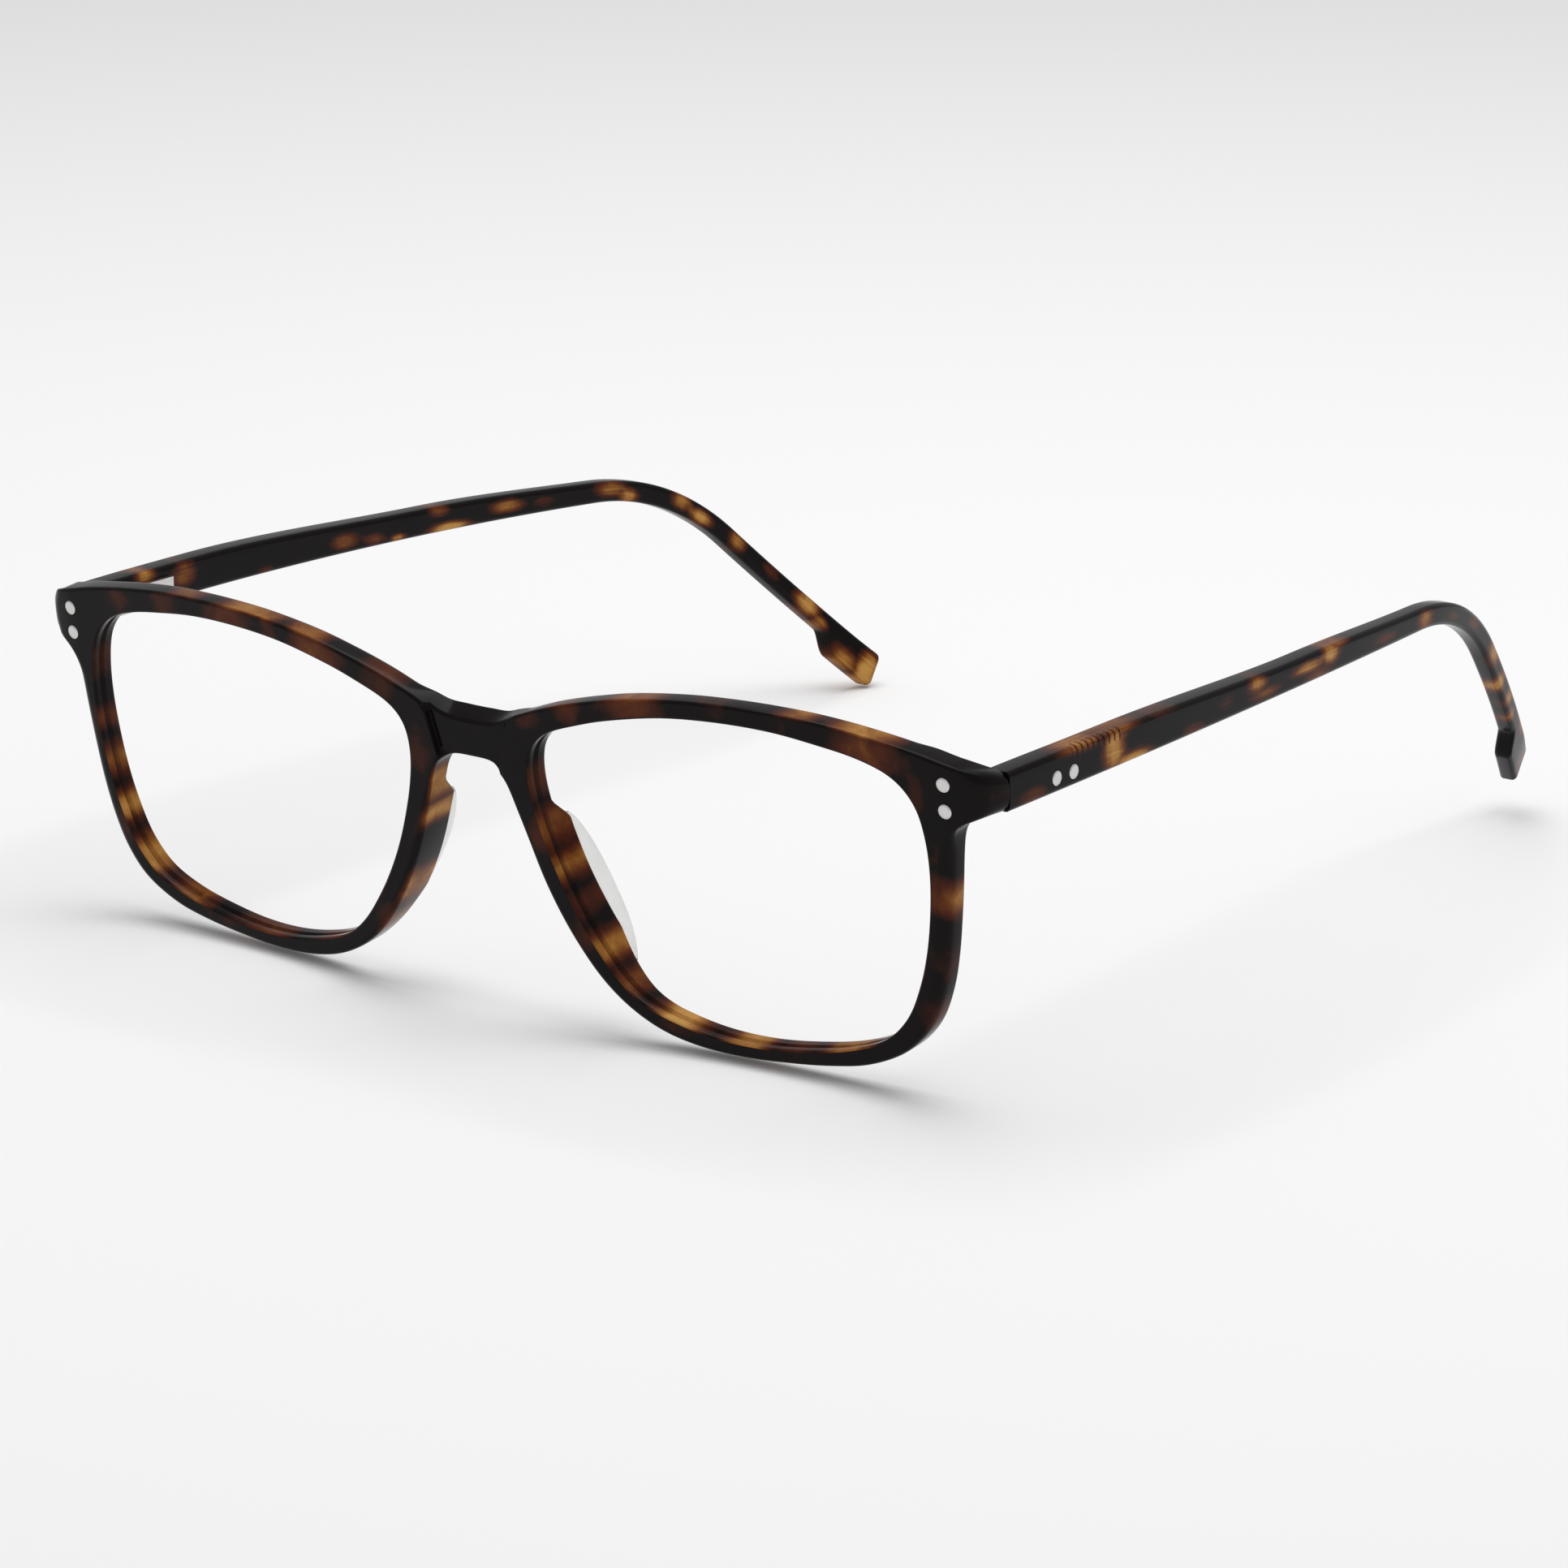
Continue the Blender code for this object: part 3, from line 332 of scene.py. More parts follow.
def apply_booleans(piece, steps):
    """Runs Boolean steps (tool, operation) on a piece and removes the tools."""
    for tool, operation in steps:
        modifier = piece.modifiers.new(tool.name, "BOOLEAN")
        modifier.operation = operation
        modifier.solver = "EXACT"
        modifier.object = tool
    bpy.context.view_layer.update()
    evaluated = piece.evaluated_get(bpy.context.evaluated_depsgraph_get())
    mesh = bpy.data.meshes.new_from_object(evaluated)
    piece.modifiers.clear()
    material = piece.data.materials[0]
    piece.data = mesh
    mesh.materials.clear()
    mesh.materials.append(material)
    for polygon in mesh.polygons:
        polygon.material_index = 0
    for tool, _ in steps:
        bpy.data.objects.remove(tool)
    mesh.shade_smooth()
    mesh.set_sharp_from_angle(angle=SHARP_ANGLE)


def stitch(faces, rings):
    """Faces between each ring of point numbers and the next."""
    for ring_a, ring_b in zip(rings, rings[1:]):
        for i in range(len(ring_a)):
            j = (i + 1) % len(ring_a)
            faces.append((ring_a[i], ring_a[j], ring_b[j], ring_b[i]))


def loft(rings, close_first=True):
    """Points and faces of a skin over the rings, closed at the last one."""
    count = len(rings[0])
    ids = [range(r * count, (r + 1) * count) for r in range(len(rings))]
    faces = []
    stitch(faces, ids)
    if close_first:
        faces.append(tuple(ids[0]))
    faces.append(tuple(ids[-1]))
    return [p for ring in rings for p in ring], faces


def turned(stations, centre, axis, up, segments=48):
    """Solid of revolution from (distance, radius) stations along an axis."""
    axis = Vector(axis).normalized()
    side = Vector(up).cross(axis).normalized()
    other = axis.cross(side)
    rings = []
    for distance, radius in stations:
        ring = []
        for k in range(segments):
            angle = 2 * math.pi * k / segments
            p = Vector(centre) + axis * distance
            p += (side * math.cos(angle) + other * math.sin(angle)) * radius
            ring.append(tuple(p))
        rings.append(ring)
    return loft(rings)


def spline(points, step, closed):
    """Catmull-Rom curve through the points, cut into lengths near the step."""
    count = len(points)
    result = []
    for i in range(count if closed else count - 1):
        near = range(i - 1, i + 3)
        near = [k % count if closed else min(max(k, 0), count - 1) for k in near]
        p0, p1, p2, p3 = (Vector(points[k]) for k in near)
        length = (p2 - p1).length
        pieces = max(1, round(length / step))
        m1 = (p2 - p0) * (length / max((p2 - p0).length, 1e-9))
        m2 = (p3 - p1) * (length / max((p3 - p1).length, 1e-9))
        for k in range(pieces):
            t = k / pieces
            a = (2 * t ** 3 - 3 * t ** 2 + 1) * p1 + (t ** 3 - 2 * t ** 2 + t) * m1
            b = (3 * t ** 2 - 2 * t ** 3) * p2 + (t ** 3 - t ** 2) * m2
            result.append(tuple(a + b))
    if not closed:
        result.append(tuple(points[-1]))
    return result


def middles(points):
    """Halfway between the two neighbours of each point of a loop."""
    return (np.roll(points, 1, 0) + np.roll(points, -1, 0)) / 2


def relax(loop, rounds):
    """Evens out a closed loop, so that its curvature runs on without ripples."""
    points = np.array(loop)
    for _ in range(rounds):
        for share in (0.5, -0.52):
            points = points + share * (middles(points) - points)
    return [tuple(p) for p in points]


def inward_normals(loop):
    points = np.array(loop)
    after, before = np.roll(points, -1, 0), np.roll(points, 1, 0)
    area = np.sum(points[:, 0] * after[:, 1] - after[:, 0] * points[:, 1])
    tangent = after - before
    tangent /= np.linalg.norm(tangent, axis=1)[:, None]
    normal = np.stack([-tangent[:, 1], tangent[:, 0]], 1)
    return normal if area > 0 else -normal


def inset_series(loop, amounts):
    """Loops at rising insets, eased at each step so that tight corners don't fold."""
    points = np.array(loop)
    done = np.zeros(len(points))
    loops = []
    for target in amounts:
        target = np.array(target, float)
        steps = max(1, math.ceil(np.max(target - done) / INSET_STEP))
        for _ in range(steps):
            points = points + inward_normals(points) * ((target - done) / steps)[:, None]
            points = points + 0.25 * (middles(points) - points)
        done = target
        loops.append([tuple(p) for p in points])
    return loops


def inside(points, loop):
    """Which of the points lie inside the loop."""
    points = np.array(points, float).reshape(-1, 2)
    x, z = points[:, 0], points[:, 1]
    hit = np.zeros(len(points), bool)
    for (x0, z0), (x1, z1) in zip(loop, loop[1:] + loop[:1]):
        crosses = (z0 > z) != (z1 > z)
        if crosses.any():
            reach = (x1 - x0) * (z - z0) / ((z1 - z0) or 1e-12) + x0
            hit ^= crosses & (x < reach)
    return hit


def between(points, loops):
    """Which of the points lie inside the first loop and outside the others."""
    keep = inside(points, loops[0])
    for hole in loops[1:]:
        keep &= ~inside(points, hole)
    return keep


def fill(coords, ids, edges, loops, tolerance):
    """Triangles inside the first loop and outside the others, as faces."""
    found = delaunay_2d_cdt(coords, edges, [], 0, tolerance)
    centres = [sum((found[0][i] for i in t), Vector((0.0, 0.0))) / 3 for t in found[2]]
    keep = between([tuple(c) for c in centres], loops)
    return [[ids[found[3][i][0]] for i in t] for t, kept in zip(found[2], keep) if kept]


def patch_tone(patches, ground, u, v, height=1.0):
    """Highest patch at a place, over the dark ground."""
    tone = ground
    for pu, pv, ru, rv, peak in patches:
        distance = ((u - pu) / ru) ** 2 + ((v - pv) * height / rv) ** 2
        tone = max(tone, ground + (peak - ground) * math.exp(-PATCH_FALL * distance ** 1.5))
    return tone


# ======== front
def front_y(x):
    return BASE_2 * x * x + BASE_4 * x ** 4 + END_WRAP * max(0.0, abs(x) - END_WRAP_X) ** 2


def step_x(z):
    return 4.75 + 0.25 * (z + 5.0)


def nasal_build(x, z):
    """Extra depth behind the nasal part of each rim, where its pad sits."""
    if abs(x) > NASAL_REACH_X:
        return 0.0
    grow = ramp((NASAL_TOP[0] - z) / NASAL_TOP[1])
    return NASAL_BUILD * grow * ramp((z - NASAL_END[0]) / NASAL_END[1])


def joint_y_local(z):
    return (JOINT_Y + z * math.sin(LEAN)) / math.cos(LEAN)


def front_point(x, z, depth, from_back):
    """Point of the front at a depth behind its face or ahead of its back."""
    wide = abs(x)
    side = math.copysign(1.0, x)
    set_back = BRIDGE_SET_BACK * smooth((step_x(z) - wide) / STEP_WIDTH)
    face = front_y(x) + set_back * ramp(z - SET_BACK_END_Z)
    out = smooth((wide - RETURN_X + RETURN_WIDTH) / RETURN_WIDTH)
    rear = front_y(x) + RIM_DEPTH + nasal_build(x, z)
    z_joint = END_DROP + (z - END_MID_Z) * END_SHARE
    joint = joint_y_local(z_joint)
    rear += (joint - rear) * out
    y = rear - depth if from_back else face + depth
    share = out * ramp((y - front_y(x)) / (joint - front_y(x)))
    rise = BRIDGE_RISE * ramp((y - front_y(x)) / RIM_DEPTH)
    rise *= smooth((z - BRIDGE_RISE_Z[0]) / BRIDGE_RISE_Z[1])
    rise *= smooth((BRIDGE_RISE_X[0] - wide) / BRIDGE_RISE_X[1])
    return (x + side * SIDE_FLARE * share, y, z + (z_joint - z) * share + rise)


def outer_edge_radius(point):
    """Rounding of the front edge: more down the sides, along the lower rim and at the ends."""
    x, z = abs(point[0]), point[1]
    soft = 0.4 + 1.05 * smooth((x - 56.0) / 6.0) * smooth((-z - 3.0) / 4.0)
    soft += 0.4 * smooth((-z - 6.0) / 8.0) * (1.0 - smooth((x - 56.0) / 6.0))
    return soft + 1.1 * smooth((x - 66.0) / 1.8) * smooth((z + 3.0) / 1.0)


def back_edge_radius(point):
    """Rounding of the back edge: more along the top, less where the temples meet it."""
    x, z = abs(point[0]), point[1]
    soft = 0.5 + 0.5 * smooth(z / 2.0) * smooth((62.0 - x) / 3.0)
    return soft - 0.3 * smooth((x - 65.0) / 1.5)


class FrontMesh:
    """Collects the points, faces and values of the front."""

    def __init__(self):
        self.verts = []
        self.faces = []
        self.tones = []

    def add(self, x, z, depth, from_back, tone):
        self.verts.append(from_front(front_point(x, z, depth, from_back)))
        self.tones.append(tone)
        return len(self.verts) - 1

    def add_loop(self, loop, depths, from_back, tones):
        return [self.add(p[0], p[1], d, from_back, t) for p, d, t in zip(loop, depths, tones)]

    def cap(self, loops, loop_ids, lines, from_back):
        """Cover between the outer loop and the openings, with a grid of points in it."""
        coords, ids, edges = [], [], []
        for loop, loop_id in zip(loops, loop_ids):
            start = len(coords)
            coords += [Vector(p) for p in loop]
            ids += loop_id
            edges += [(start + i, start + (i + 1) % len(loop)) for i in range(len(loop))]
        for line in lines:
            keep = inside(line, loops[0])
            line = [p for p, k in zip(line, keep) if k]
            for i, p in enumerate(line):
                if i:
                    edges.append((len(coords) - 1, len(coords)))
                coords.append(Vector(p))
                ids.append(self.add(*p, 0.0, from_back, face_tone(*p)))
        across = np.arange(-68.0, 68.01, GRID_STEP)
        up = np.arange(-35.5, 7.01, GRID_STEP)
        grid = np.array([(x, z) for x in across for z in up])
        known = np.array([tuple(c) for c in coords])
        for p in grid[between(grid, loops)]:
            if np.min(np.sum((known - p) ** 2, 1)) > (0.45 * GRID_STEP) ** 2:
                coords.append(Vector(p))
                ids.append(self.add(p[0], p[1], 0.0, from_back, face_tone(*p)))
        self.faces += fill(coords, ids, edges, loops, 1e-5)


def face_tone(x, z):
    return patch_tone(FACE_PATCHES, GROUND, x, z)


def side_tone(x, z):
    return patch_tone(SIDE_PATCHES, SIDE_GROUND, x, z)


def wall_tone(x, z):
    return patch_tone(WALL_PATCHES, WALL_GROUND, x, z)


def edge_arc(radius, steps=4):
    """(inset, depth) along a quarter round from the face to the side."""
    angles = [QUARTER * k / steps for k in range(steps + 1)]
    return [(radius * (1 - math.sin(a)), radius * (1 - math.cos(a))) for a in angles]


def build_front_mesh():
    half = spline(OUTER_HALF, LINE_STEP, False)
    outer = relax(half + [(-x, z) for x, z in reversed(half[1:-1])], OUTLINE_EASE)
    right = relax(spline(OPENING, LINE_STEP, True), OPENING_EASE)
    left = [(-x, z) for x, z in reversed(right)]
    mesh = FrontMesh()
    radii = np.array([outer_edge_radius(p) for p in outer])
    rear = np.array([back_edge_radius(p) for p in outer])
    on_face = np.array([face_tone(*p) for p in outer])
    on_side = np.array([side_tone(*p) for p in outer])

    def edge_row(loop, depths, from_back, share):
        tones = on_face * (1 - share) + on_side * share
        ids.append(mesh.add_loop(loop, depths, from_back, tones))

    ids = []
    angles = [QUARTER * k / EDGE_STEPS for k in range(EDGE_STEPS + 1)]
    shifts = [radii * (1 - math.sin(angle)) for angle in reversed(angles)] + [radii + SUPPORT]
    loops = inset_series(outer, shifts)[::-1]
    front_loops = [loops[0]]
    ids.append(mesh.add_loop(loops[0], 0 * radii, False, [face_tone(*p) for p in loops[0]]))
    for angle, loop in zip(angles, loops[1:]):
        edge_row(loop, radii * (1 - math.cos(angle)), False, angle / QUARTER)
    shifts = [rear * (1 - math.cos(angle)) for angle in angles] + [rear + SUPPORT]
    loops = inset_series(outer, shifts)
    for angle, loop in zip(angles, loops):
        edge_row(loop, rear * (1 - math.sin(angle)), True, 1 - angle / QUARTER)
    back_loops = [loops[-1]]
    ids.append(mesh.add_loop(loops[-1], 0 * rear, True, [face_tone(*p) for p in loops[-1]]))
    stitch(mesh.faces, ids)
    front_ids, back_ids = [ids[0]], [ids[-1]]

    for opening in (right, left):
        normals = inward_normals(opening)
        profile = [(OPENING_EDGE + SUPPORT, 0.0, False)]
        profile += [(a, b, False) for a, b in edge_arc(OPENING_EDGE)]
        profile += GROOVE
        profile += [(a, b, True) for a, b in reversed(edge_arc(OPENING_BACK_EDGE))]
        profile += [(OPENING_BACK_EDGE + SUPPORT, 0.0, True)]
        ids = []
        ones = np.ones(len(opening))
        for index, (shift, depth, from_back) in enumerate(profile):
            loop = [tuple(p) for p in np.array(opening) - shift * normals]
            on_rim = index < 2 or index > len(profile) - 3
            tones = [(face_tone if on_rim else wall_tone)(*p) for p in loop]
            ids.append(mesh.add_loop(loop, depth * ones, from_back, tones))
            if index == 0:
                front_loops.append(loop)
        stitch(mesh.faces, ids)
        back_loops.append(loop)
        front_ids.append(ids[0])
        back_ids.append(ids[-1])

    heights = np.arange(0.5, -5.51, -0.5)
    steps = []
    for side in (-1, 1):
        for share in np.linspace(0.0, 1.0, 6):
            steps.append([(side * (step_x(z) - share * STEP_WIDTH), z) for z in heights])
    mesh.cap(front_loops, front_ids, steps, False)
    walls = []  # edges of the returns, then points under the pads
    for side in (-1, 1):
        for share in np.linspace(0.0, 1.0, 5):
            x = RETURN_X - RETURN_WIDTH * share
            walls.append([(side * x, 3.2 - 0.4 * k) for k in range(16)])
        for ring in pad_base():
            walls += [[(side * ring[place][0], ring[place][1])] for place in (0, -1)]
    mesh.cap(back_loops, back_ids, walls, True)
    return mesh


def build_front(material):
    mesh = build_front_mesh()
    piece = new_piece("acetate_front", mesh.verts, mesh.faces, material)
    set_values(piece, mesh.tones, [tuple(v) for v in mesh.verts])
    steps = []
    for side in (1, -1):
        for z in FRONT_RIVET_Z.values():
            face, inward = front_rivet_place(side, z)
            steps.append((rivet_hole(face, inward, RIM_DEPTH + RIVET_GRIP), "DIFFERENCE"))
    apply_booleans(piece, steps)
    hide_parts("front_frame")
    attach(piece, "front")


# ======== rivets
def front_rivet_place(side, z):
    """Middle of a rivet head on the face of the front, and the way inward."""
    x = FRONT_RIVET_X
    slope = 2 * BASE_2 * x + 4 * BASE_4 * x ** 3
    outward = Vector((side * slope, -1.0, 0.0)).normalized()
    return from_front((side * x, front_y(x), z)), Matrix.Rotation(LEAN, 3, "X") @ -outward


def temple_rivet_place(side, v):
    place = temple_matrix(side)
    face = place @ Vector((side * outer_face_x(v), AXIS_Y + v, TEMPLE_RIVET_Z))
    return face, place.to_3x3() @ Vector((-side, 0.0, 0.0))


def rivet_hole(face, inward, length):
    """Tool that cuts the seat of a head and the hole of its shank."""
    head, shank = RIVET_HEAD_R + HOLE_GAP, RIVET_SHANK_R + HOLE_GAP
    floor = RIVET_HEAD_DEPTH + HOLE_GAP
    stations = [(-1.0, head + 0.05), (0.0, head + 0.02), (0.06, head), (floor, head),
                (floor, shank), (length, shank)]
    verts, faces = turned(stations, face, inward, (0, 0, 1))
    return new_piece("rivet_hole", verts, faces)


def build_rivet(name, node, body, face, inward, length, material):
    """Flat filed head with a shallow ring cut near its rim, and a plain shank."""
    top, rim = -RIVET_PROUD, RIVET_HEAD_R
    stations = [(top + 0.015, 0.02), (top, 0.3 * rim), (top, rim - 0.20), (top + 0.02, rim - 0.17),
                (top + 0.005, rim - 0.13), (0.7 * top, rim - 0.06), (0.3 * top, rim - 0.01),
                (0.05, rim), (RIVET_HEAD_DEPTH, rim), (RIVET_HEAD_DEPTH, RIVET_SHANK_R),
                (length, RIVET_SHANK_R)]
    verts, faces = turned(stations, face, inward, (0, 0, 1), 64)
    piece = new_piece(name, verts, faces, material)
    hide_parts(node)
    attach(piece, body)


def build_rivets(material):
    for side, word in SIDES:
        for level, z in FRONT_RIVET_Z.items():
            face, inward = front_rivet_place(side, z)
            node = "front_rivet_%s_%s" % (word, level)
            length = RIM_DEPTH + RIVET_GRIP
            build_rivet("head_" + node, node, "front", face, inward, length, material)
        for level, v in TEMPLE_RIVETS.items():
            face, inward = temple_rivet_place(side, v)
            node = "temple_rivet_%s_%s" % (word, level)
            length = blend_table(v, THICKNESS) + RIVET_GRIP
            body = "temple_arm_" + word
            build_rivet("head_" + node, node, body, face, inward, length, material)


# ======== temples
def outer_face_x(v):
    late = max(0.0, v - INWARD_3_START)
    return TEMPLE_FACE_X - (INWARD_1 * v + INWARD_2 * v * v + INWARD_3 * late * late)


def temple_low_edge(step=1.0):
    """Lower edge in side view: (distance back, height, angle down, distance along)."""
    rows = []
    count = round(BEND_START / step)
    for k in range(count + 1):
        v = BEND_START * k / count
        z = LOW_Z + LOW_SLOPE * v + LOW_BOW * v * v
        slope = LOW_SLOPE + 2 * LOW_BOW * v
        rows.append((v, z, -math.atan(slope) * smooth(v / 3.0), v))
    v, z, first, along = rows[-1]
    count = round(BEND_LENGTH / step)
    for k in range(1, count + 1):
        angle = first + (DROP_ANGLE - first) * k / count
        x1 = v + BEND_R * (math.sin(angle) - math.sin(first))
        z1 = z - BEND_R * (math.cos(first) - math.cos(angle))
        rows.append((x1, z1, angle, along + BEND_R * (angle - first)))
    v, z, angle, along = rows[-1]
    steps = list(np.arange(step, DROP_LENGTH - 1.0, step))
    steps += list(np.arange(DROP_LENGTH - 1.0, DROP_LENGTH + PADDLE_LENGTH - END_ROUND, 0.2))
    steps += [DROP_LENGTH + PADDLE_LENGTH - END_ROUND * (1 - math.sin(QUARTER * k / 6))
              for k in range(7)]
    for s in steps:
        rows.append((v + s * math.cos(angle), z - s * math.sin(angle), angle, along + s))
    return rows


def temple_section(row, shrink=0.0):
    """Corner frame of the section: outer x, thickness, low point, high point in (y, z)."""
    v, z, angle, along = row
    drop = blend_table(along, PADDLE_DROP)
    height = blend_table(along, HEIGHT)
    lean = PADDLE_LEAN * smooth((along - PADDLE_START - 4.0) / (PADDLE_LENGTH - 4.0))
    into = ramp(1.0 - (PADDLE_START + PADDLE_LENGTH - along) / TIP_CORNER)
    drop -= TIP_CORNER * (1.0 - math.sqrt(1.0 - into * into))
    tangent = Vector((math.cos(angle), -math.sin(angle)))
    normal = Vector((math.sin(angle), math.cos(angle)))
    low = Vector((v, z)) - normal * (drop - shrink)
    high = Vector((v, z)) + normal * (height - shrink) - tangent * lean
    return outer_face_x(v) - shrink, blend_table(along, THICKNESS) - 2 * shrink, low, high


def ring_points(section):
    """Rounded rectangle between the low and high points, with points along its flats.

    Second come the same points as (across, up, share of the height) for the material.
    """
    face_x, thick, low, high = section
    height = (high - low).length
    up = (high - low).normalized()
    radius = min(CORNER_R, 0.45 * thick, 0.45 * height)
    corners = [(0.0, 0.0, 180), (1.0, 0.0, 270), (1.0, 1.0, 0), (0.0, 1.0, 90)]
    flats = [2, 5, 2, 5]

    def corner_point(corner, turn):
        across, along, start = corner
        angle = math.radians(start + turn)
        return (radius + across * (thick - 2 * radius) + radius * math.cos(angle),
                radius + along * (height - 2 * radius) + radius * math.sin(angle))

    outline = []
    for index, corner in enumerate(corners):
        outline += [corner_point(corner, 90 * k / CORNER_STEPS) for k in range(CORNER_STEPS + 1)]
        x, z = outline[-1]
        nx, nz = corner_point(corners[(index + 1) % 4], 0)
        for k in range(1, flats[index]):
            share = k / flats[index]
            outline.append((x + (nx - x) * share, z + (nz - z) * share))
    ring = []
    for x, z in outline:
        p = low + up * z
        ring.append((face_x - thick + x, JOINT_Y + p.x, p.y))
    return ring, [(x, z, z / height) for x, z in outline]


def core_ring(row, radius, segments=16):
    face_x, thick, low, high = temple_section(row)
    up = (high - low).normalized()
    share = CORE_RISE + (0.5 - CORE_RISE) * ramp((row[3] - CORE_FALL) / CORE_FALL)
    middle = low + (high - low) * share
    ring = []
    for k in range(segments):
        angle = 2 * math.pi * k / segments
        p = middle + up * radius * math.sin(angle)
        x = face_x - thick / 2 + radius * math.cos(angle)
        ring.append((x, JOINT_Y + p.x, p.y))
    return ring


def temple_mesh(patches):
    """Points, faces, tones and grains of a temple, drawn for the right side."""
    rows = temple_low_edge()
    rings, tones, grains = [], [], []
    tip = rows[-1][3]
    for index, row in enumerate(rows):
        from_tip = tip - row[3]
        shrink = 0.0
        if from_tip < END_ROUND:
            shrink = END_ROUND * (1 - math.sqrt(max(0.0, 1 - (1 - from_tip / END_ROUND) ** 2)))
        if index == 0:
            shrink = JOINT_END_EDGE
        ring, places = ring_points(temple_section(row, min(shrink, END_SHRINK)))
        if index == 0:
            full, _ = ring_points(temple_section(row))
            rings.append([(x, y + TEMPLE_GAP, z) for x, y, z in ring])
            rings.append([(x, y + TEMPLE_GAP + JOINT_END_EDGE, z) for x, y, z in full])
        else:
            rings.append(ring)
        height = blend_table(row[3], HEIGHT)
        for _ in range(2 if index == 0 else 1):
            tones += [patch_tone(patches, GROUND, row[3], p[2], height) for p in places]
            grains += [(p[0], row[3], p[1]) for p in places]
    verts, faces = loft(rings, False)
    count = len(rings[0])

    # The bore for the core, open at the joint, and the end face round it.
    bore = [core_ring(row, CORE_R + CORE_GAP) for row in rows if row[3] < CORE_BORE]
    bore[0] = [(x, y + TEMPLE_GAP, z) for x, y, z in bore[0]]
    base = len(verts)
    inner, inner_faces = loft(bore, False)
    verts += inner
    tones += [GROUND] * len(inner)
    grains += [(0.0, 0.0, 0.0)] * len(inner)
    faces += [tuple(base + i for i in f) for f in inner_faces]
    bored = len(bore[0])
    ids = list(range(count)) + [base + i for i in range(bored)]
    coords = [Vector((verts[i][0], verts[i][2])) for i in ids]
    edges = [(i, (i + 1) % count) for i in range(count)]
    edges += [(count + i, count + (i + 1) % bored) for i in range(bored)]
    loops = [[tuple(c) for c in coords[:count]], [tuple(c) for c in coords[count:]]]
    faces += fill(coords, ids, edges, loops, 1e-6)
    return verts, faces, tones, grains


def build_temple(side, word, material):
    verts, faces, tones, grains = temple_mesh(TEMPLE_PATCHES[word])
    verts = placed(temple_matrix(side), side, verts)
    piece = new_piece("acetate_temple_" + word, verts, faces, material)
    set_values(piece, tones, grains)
    steps = []
    for v in TEMPLE_RIVETS.values():
        face, inward = temple_rivet_place(side, v)
        hole = rivet_hole(face, inward, blend_table(v, THICKNESS) + RIVET_GRIP)
        steps.append((hole, "DIFFERENCE"))
    apply_booleans(piece, steps)
    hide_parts("temple_" + word)
    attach(piece, "temple_arm_" + word)


def build_core(side, word, material):
    """Wire core, notched for a short way behind the hinge."""
    first, last, depth = CORE_NOTCH
    rows = [row for row in temple_low_edge(0.5) if row[3] < CORE_LENGTH]
    rings = []
    for index, row in enumerate(rows):
        notch = depth if first < row[3] < last and index % 2 else 0.0
        rings.append(core_ring(row, CORE_R - notch))
    rings[0] = [(x, y + CORE_START, z) for x, y, z in rings[0]]
    verts, faces = loft(rings)
    verts = placed(temple_matrix(side), side, verts)
    piece = new_piece("core_wire_" + word, verts, faces, material)
    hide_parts("temple_core_" + word)
    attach(piece, "temple_arm_" + word)


# ======== nose pads
def pad_base(sections=11):
    """Stations down the pad: (inner x, z), half width, depth and (outer x, z)."""
    stations = []
    for k in range(sections):
        t = k / (sections - 1)
        spot = Vector(PAD_TOP).lerp(Vector(PAD_BOTTOM), t)
        spot.x -= 0.6 * math.sin(math.pi * t) + 0.35
        bulge = max(0.0, math.sin(math.pi * (0.03 + 0.94 * t ** 0.85))) ** 0.65
        half = 0.45 + 0.45 * bulge
        depth = 0.5 + 2.6 * bulge + 0.95 * (NASAL_BUILD - nasal_build(spot.x, spot.y)) * bulge
        stations.append(((spot.x - half, spot.y), half, depth, (spot.x + half, spot.y)))
    return stations


def build_pad(side, word, material, points=28):
    """Clear fin on the nasal build-up, thin and rounded at its free edge."""
    rings = []
    for (x0, z), half, depth, _ in pad_base(41):
        ring = []
        for i in range(points):
            angle = math.pi * i / (points - 1)
            across = half * (1.0 - math.cos(angle))
            back = depth * math.sin(angle) ** 0.7
            base_y = front_y(x0 + across) + RIM_DEPTH + nasal_build(x0, z) + PAD_GAP
            ring.append(from_front((side * (x0 + across), base_y + back, z)))
        rings.append(ring)
    verts, faces = loft(rings)
    piece = new_piece("clear_pad_" + word, verts, faces, material)
    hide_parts("nose_pad_" + word)
    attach(piece, "front")


# ======== hinges
def knuckle(z0, z1, radius, place):
    stations = [(0.0, radius), (z1 - z0, radius)]
    verts, faces = turned(stations, (0.0, 0.0, z0), (0, 0, 1), (0, 1, 0), 64)
    return new_piece("knuckle", placed(place, 1, verts), faces)


def lug(outline, z0, z1, side, place):
    verts, faces = loft([[(x, y, z) for x, y in outline] for z in (z0, z1)])
    return new_piece("lug", placed(place, side, verts), faces)


def rectangle(a0, a1, b0, b1):
    return [(a0, b0), (a1, b0), (a1, b1), (a0, b1)]


def finish_hinge(piece, node, body, steps):
    """Cuts and joins a hinge half, and rounds its sharp edges a little."""
    apply_booleans(piece, steps)
    bevel = piece.modifiers.new("edge_rounding", "BEVEL")
    bevel.width = HINGE_EDGE * MM
    bevel.segments = 2
    bevel.limit_method = "ANGLE"
    bevel.angle_limit = math.radians(40)
    bevel.harden_normals = False
    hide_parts(node)
    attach(piece, body)


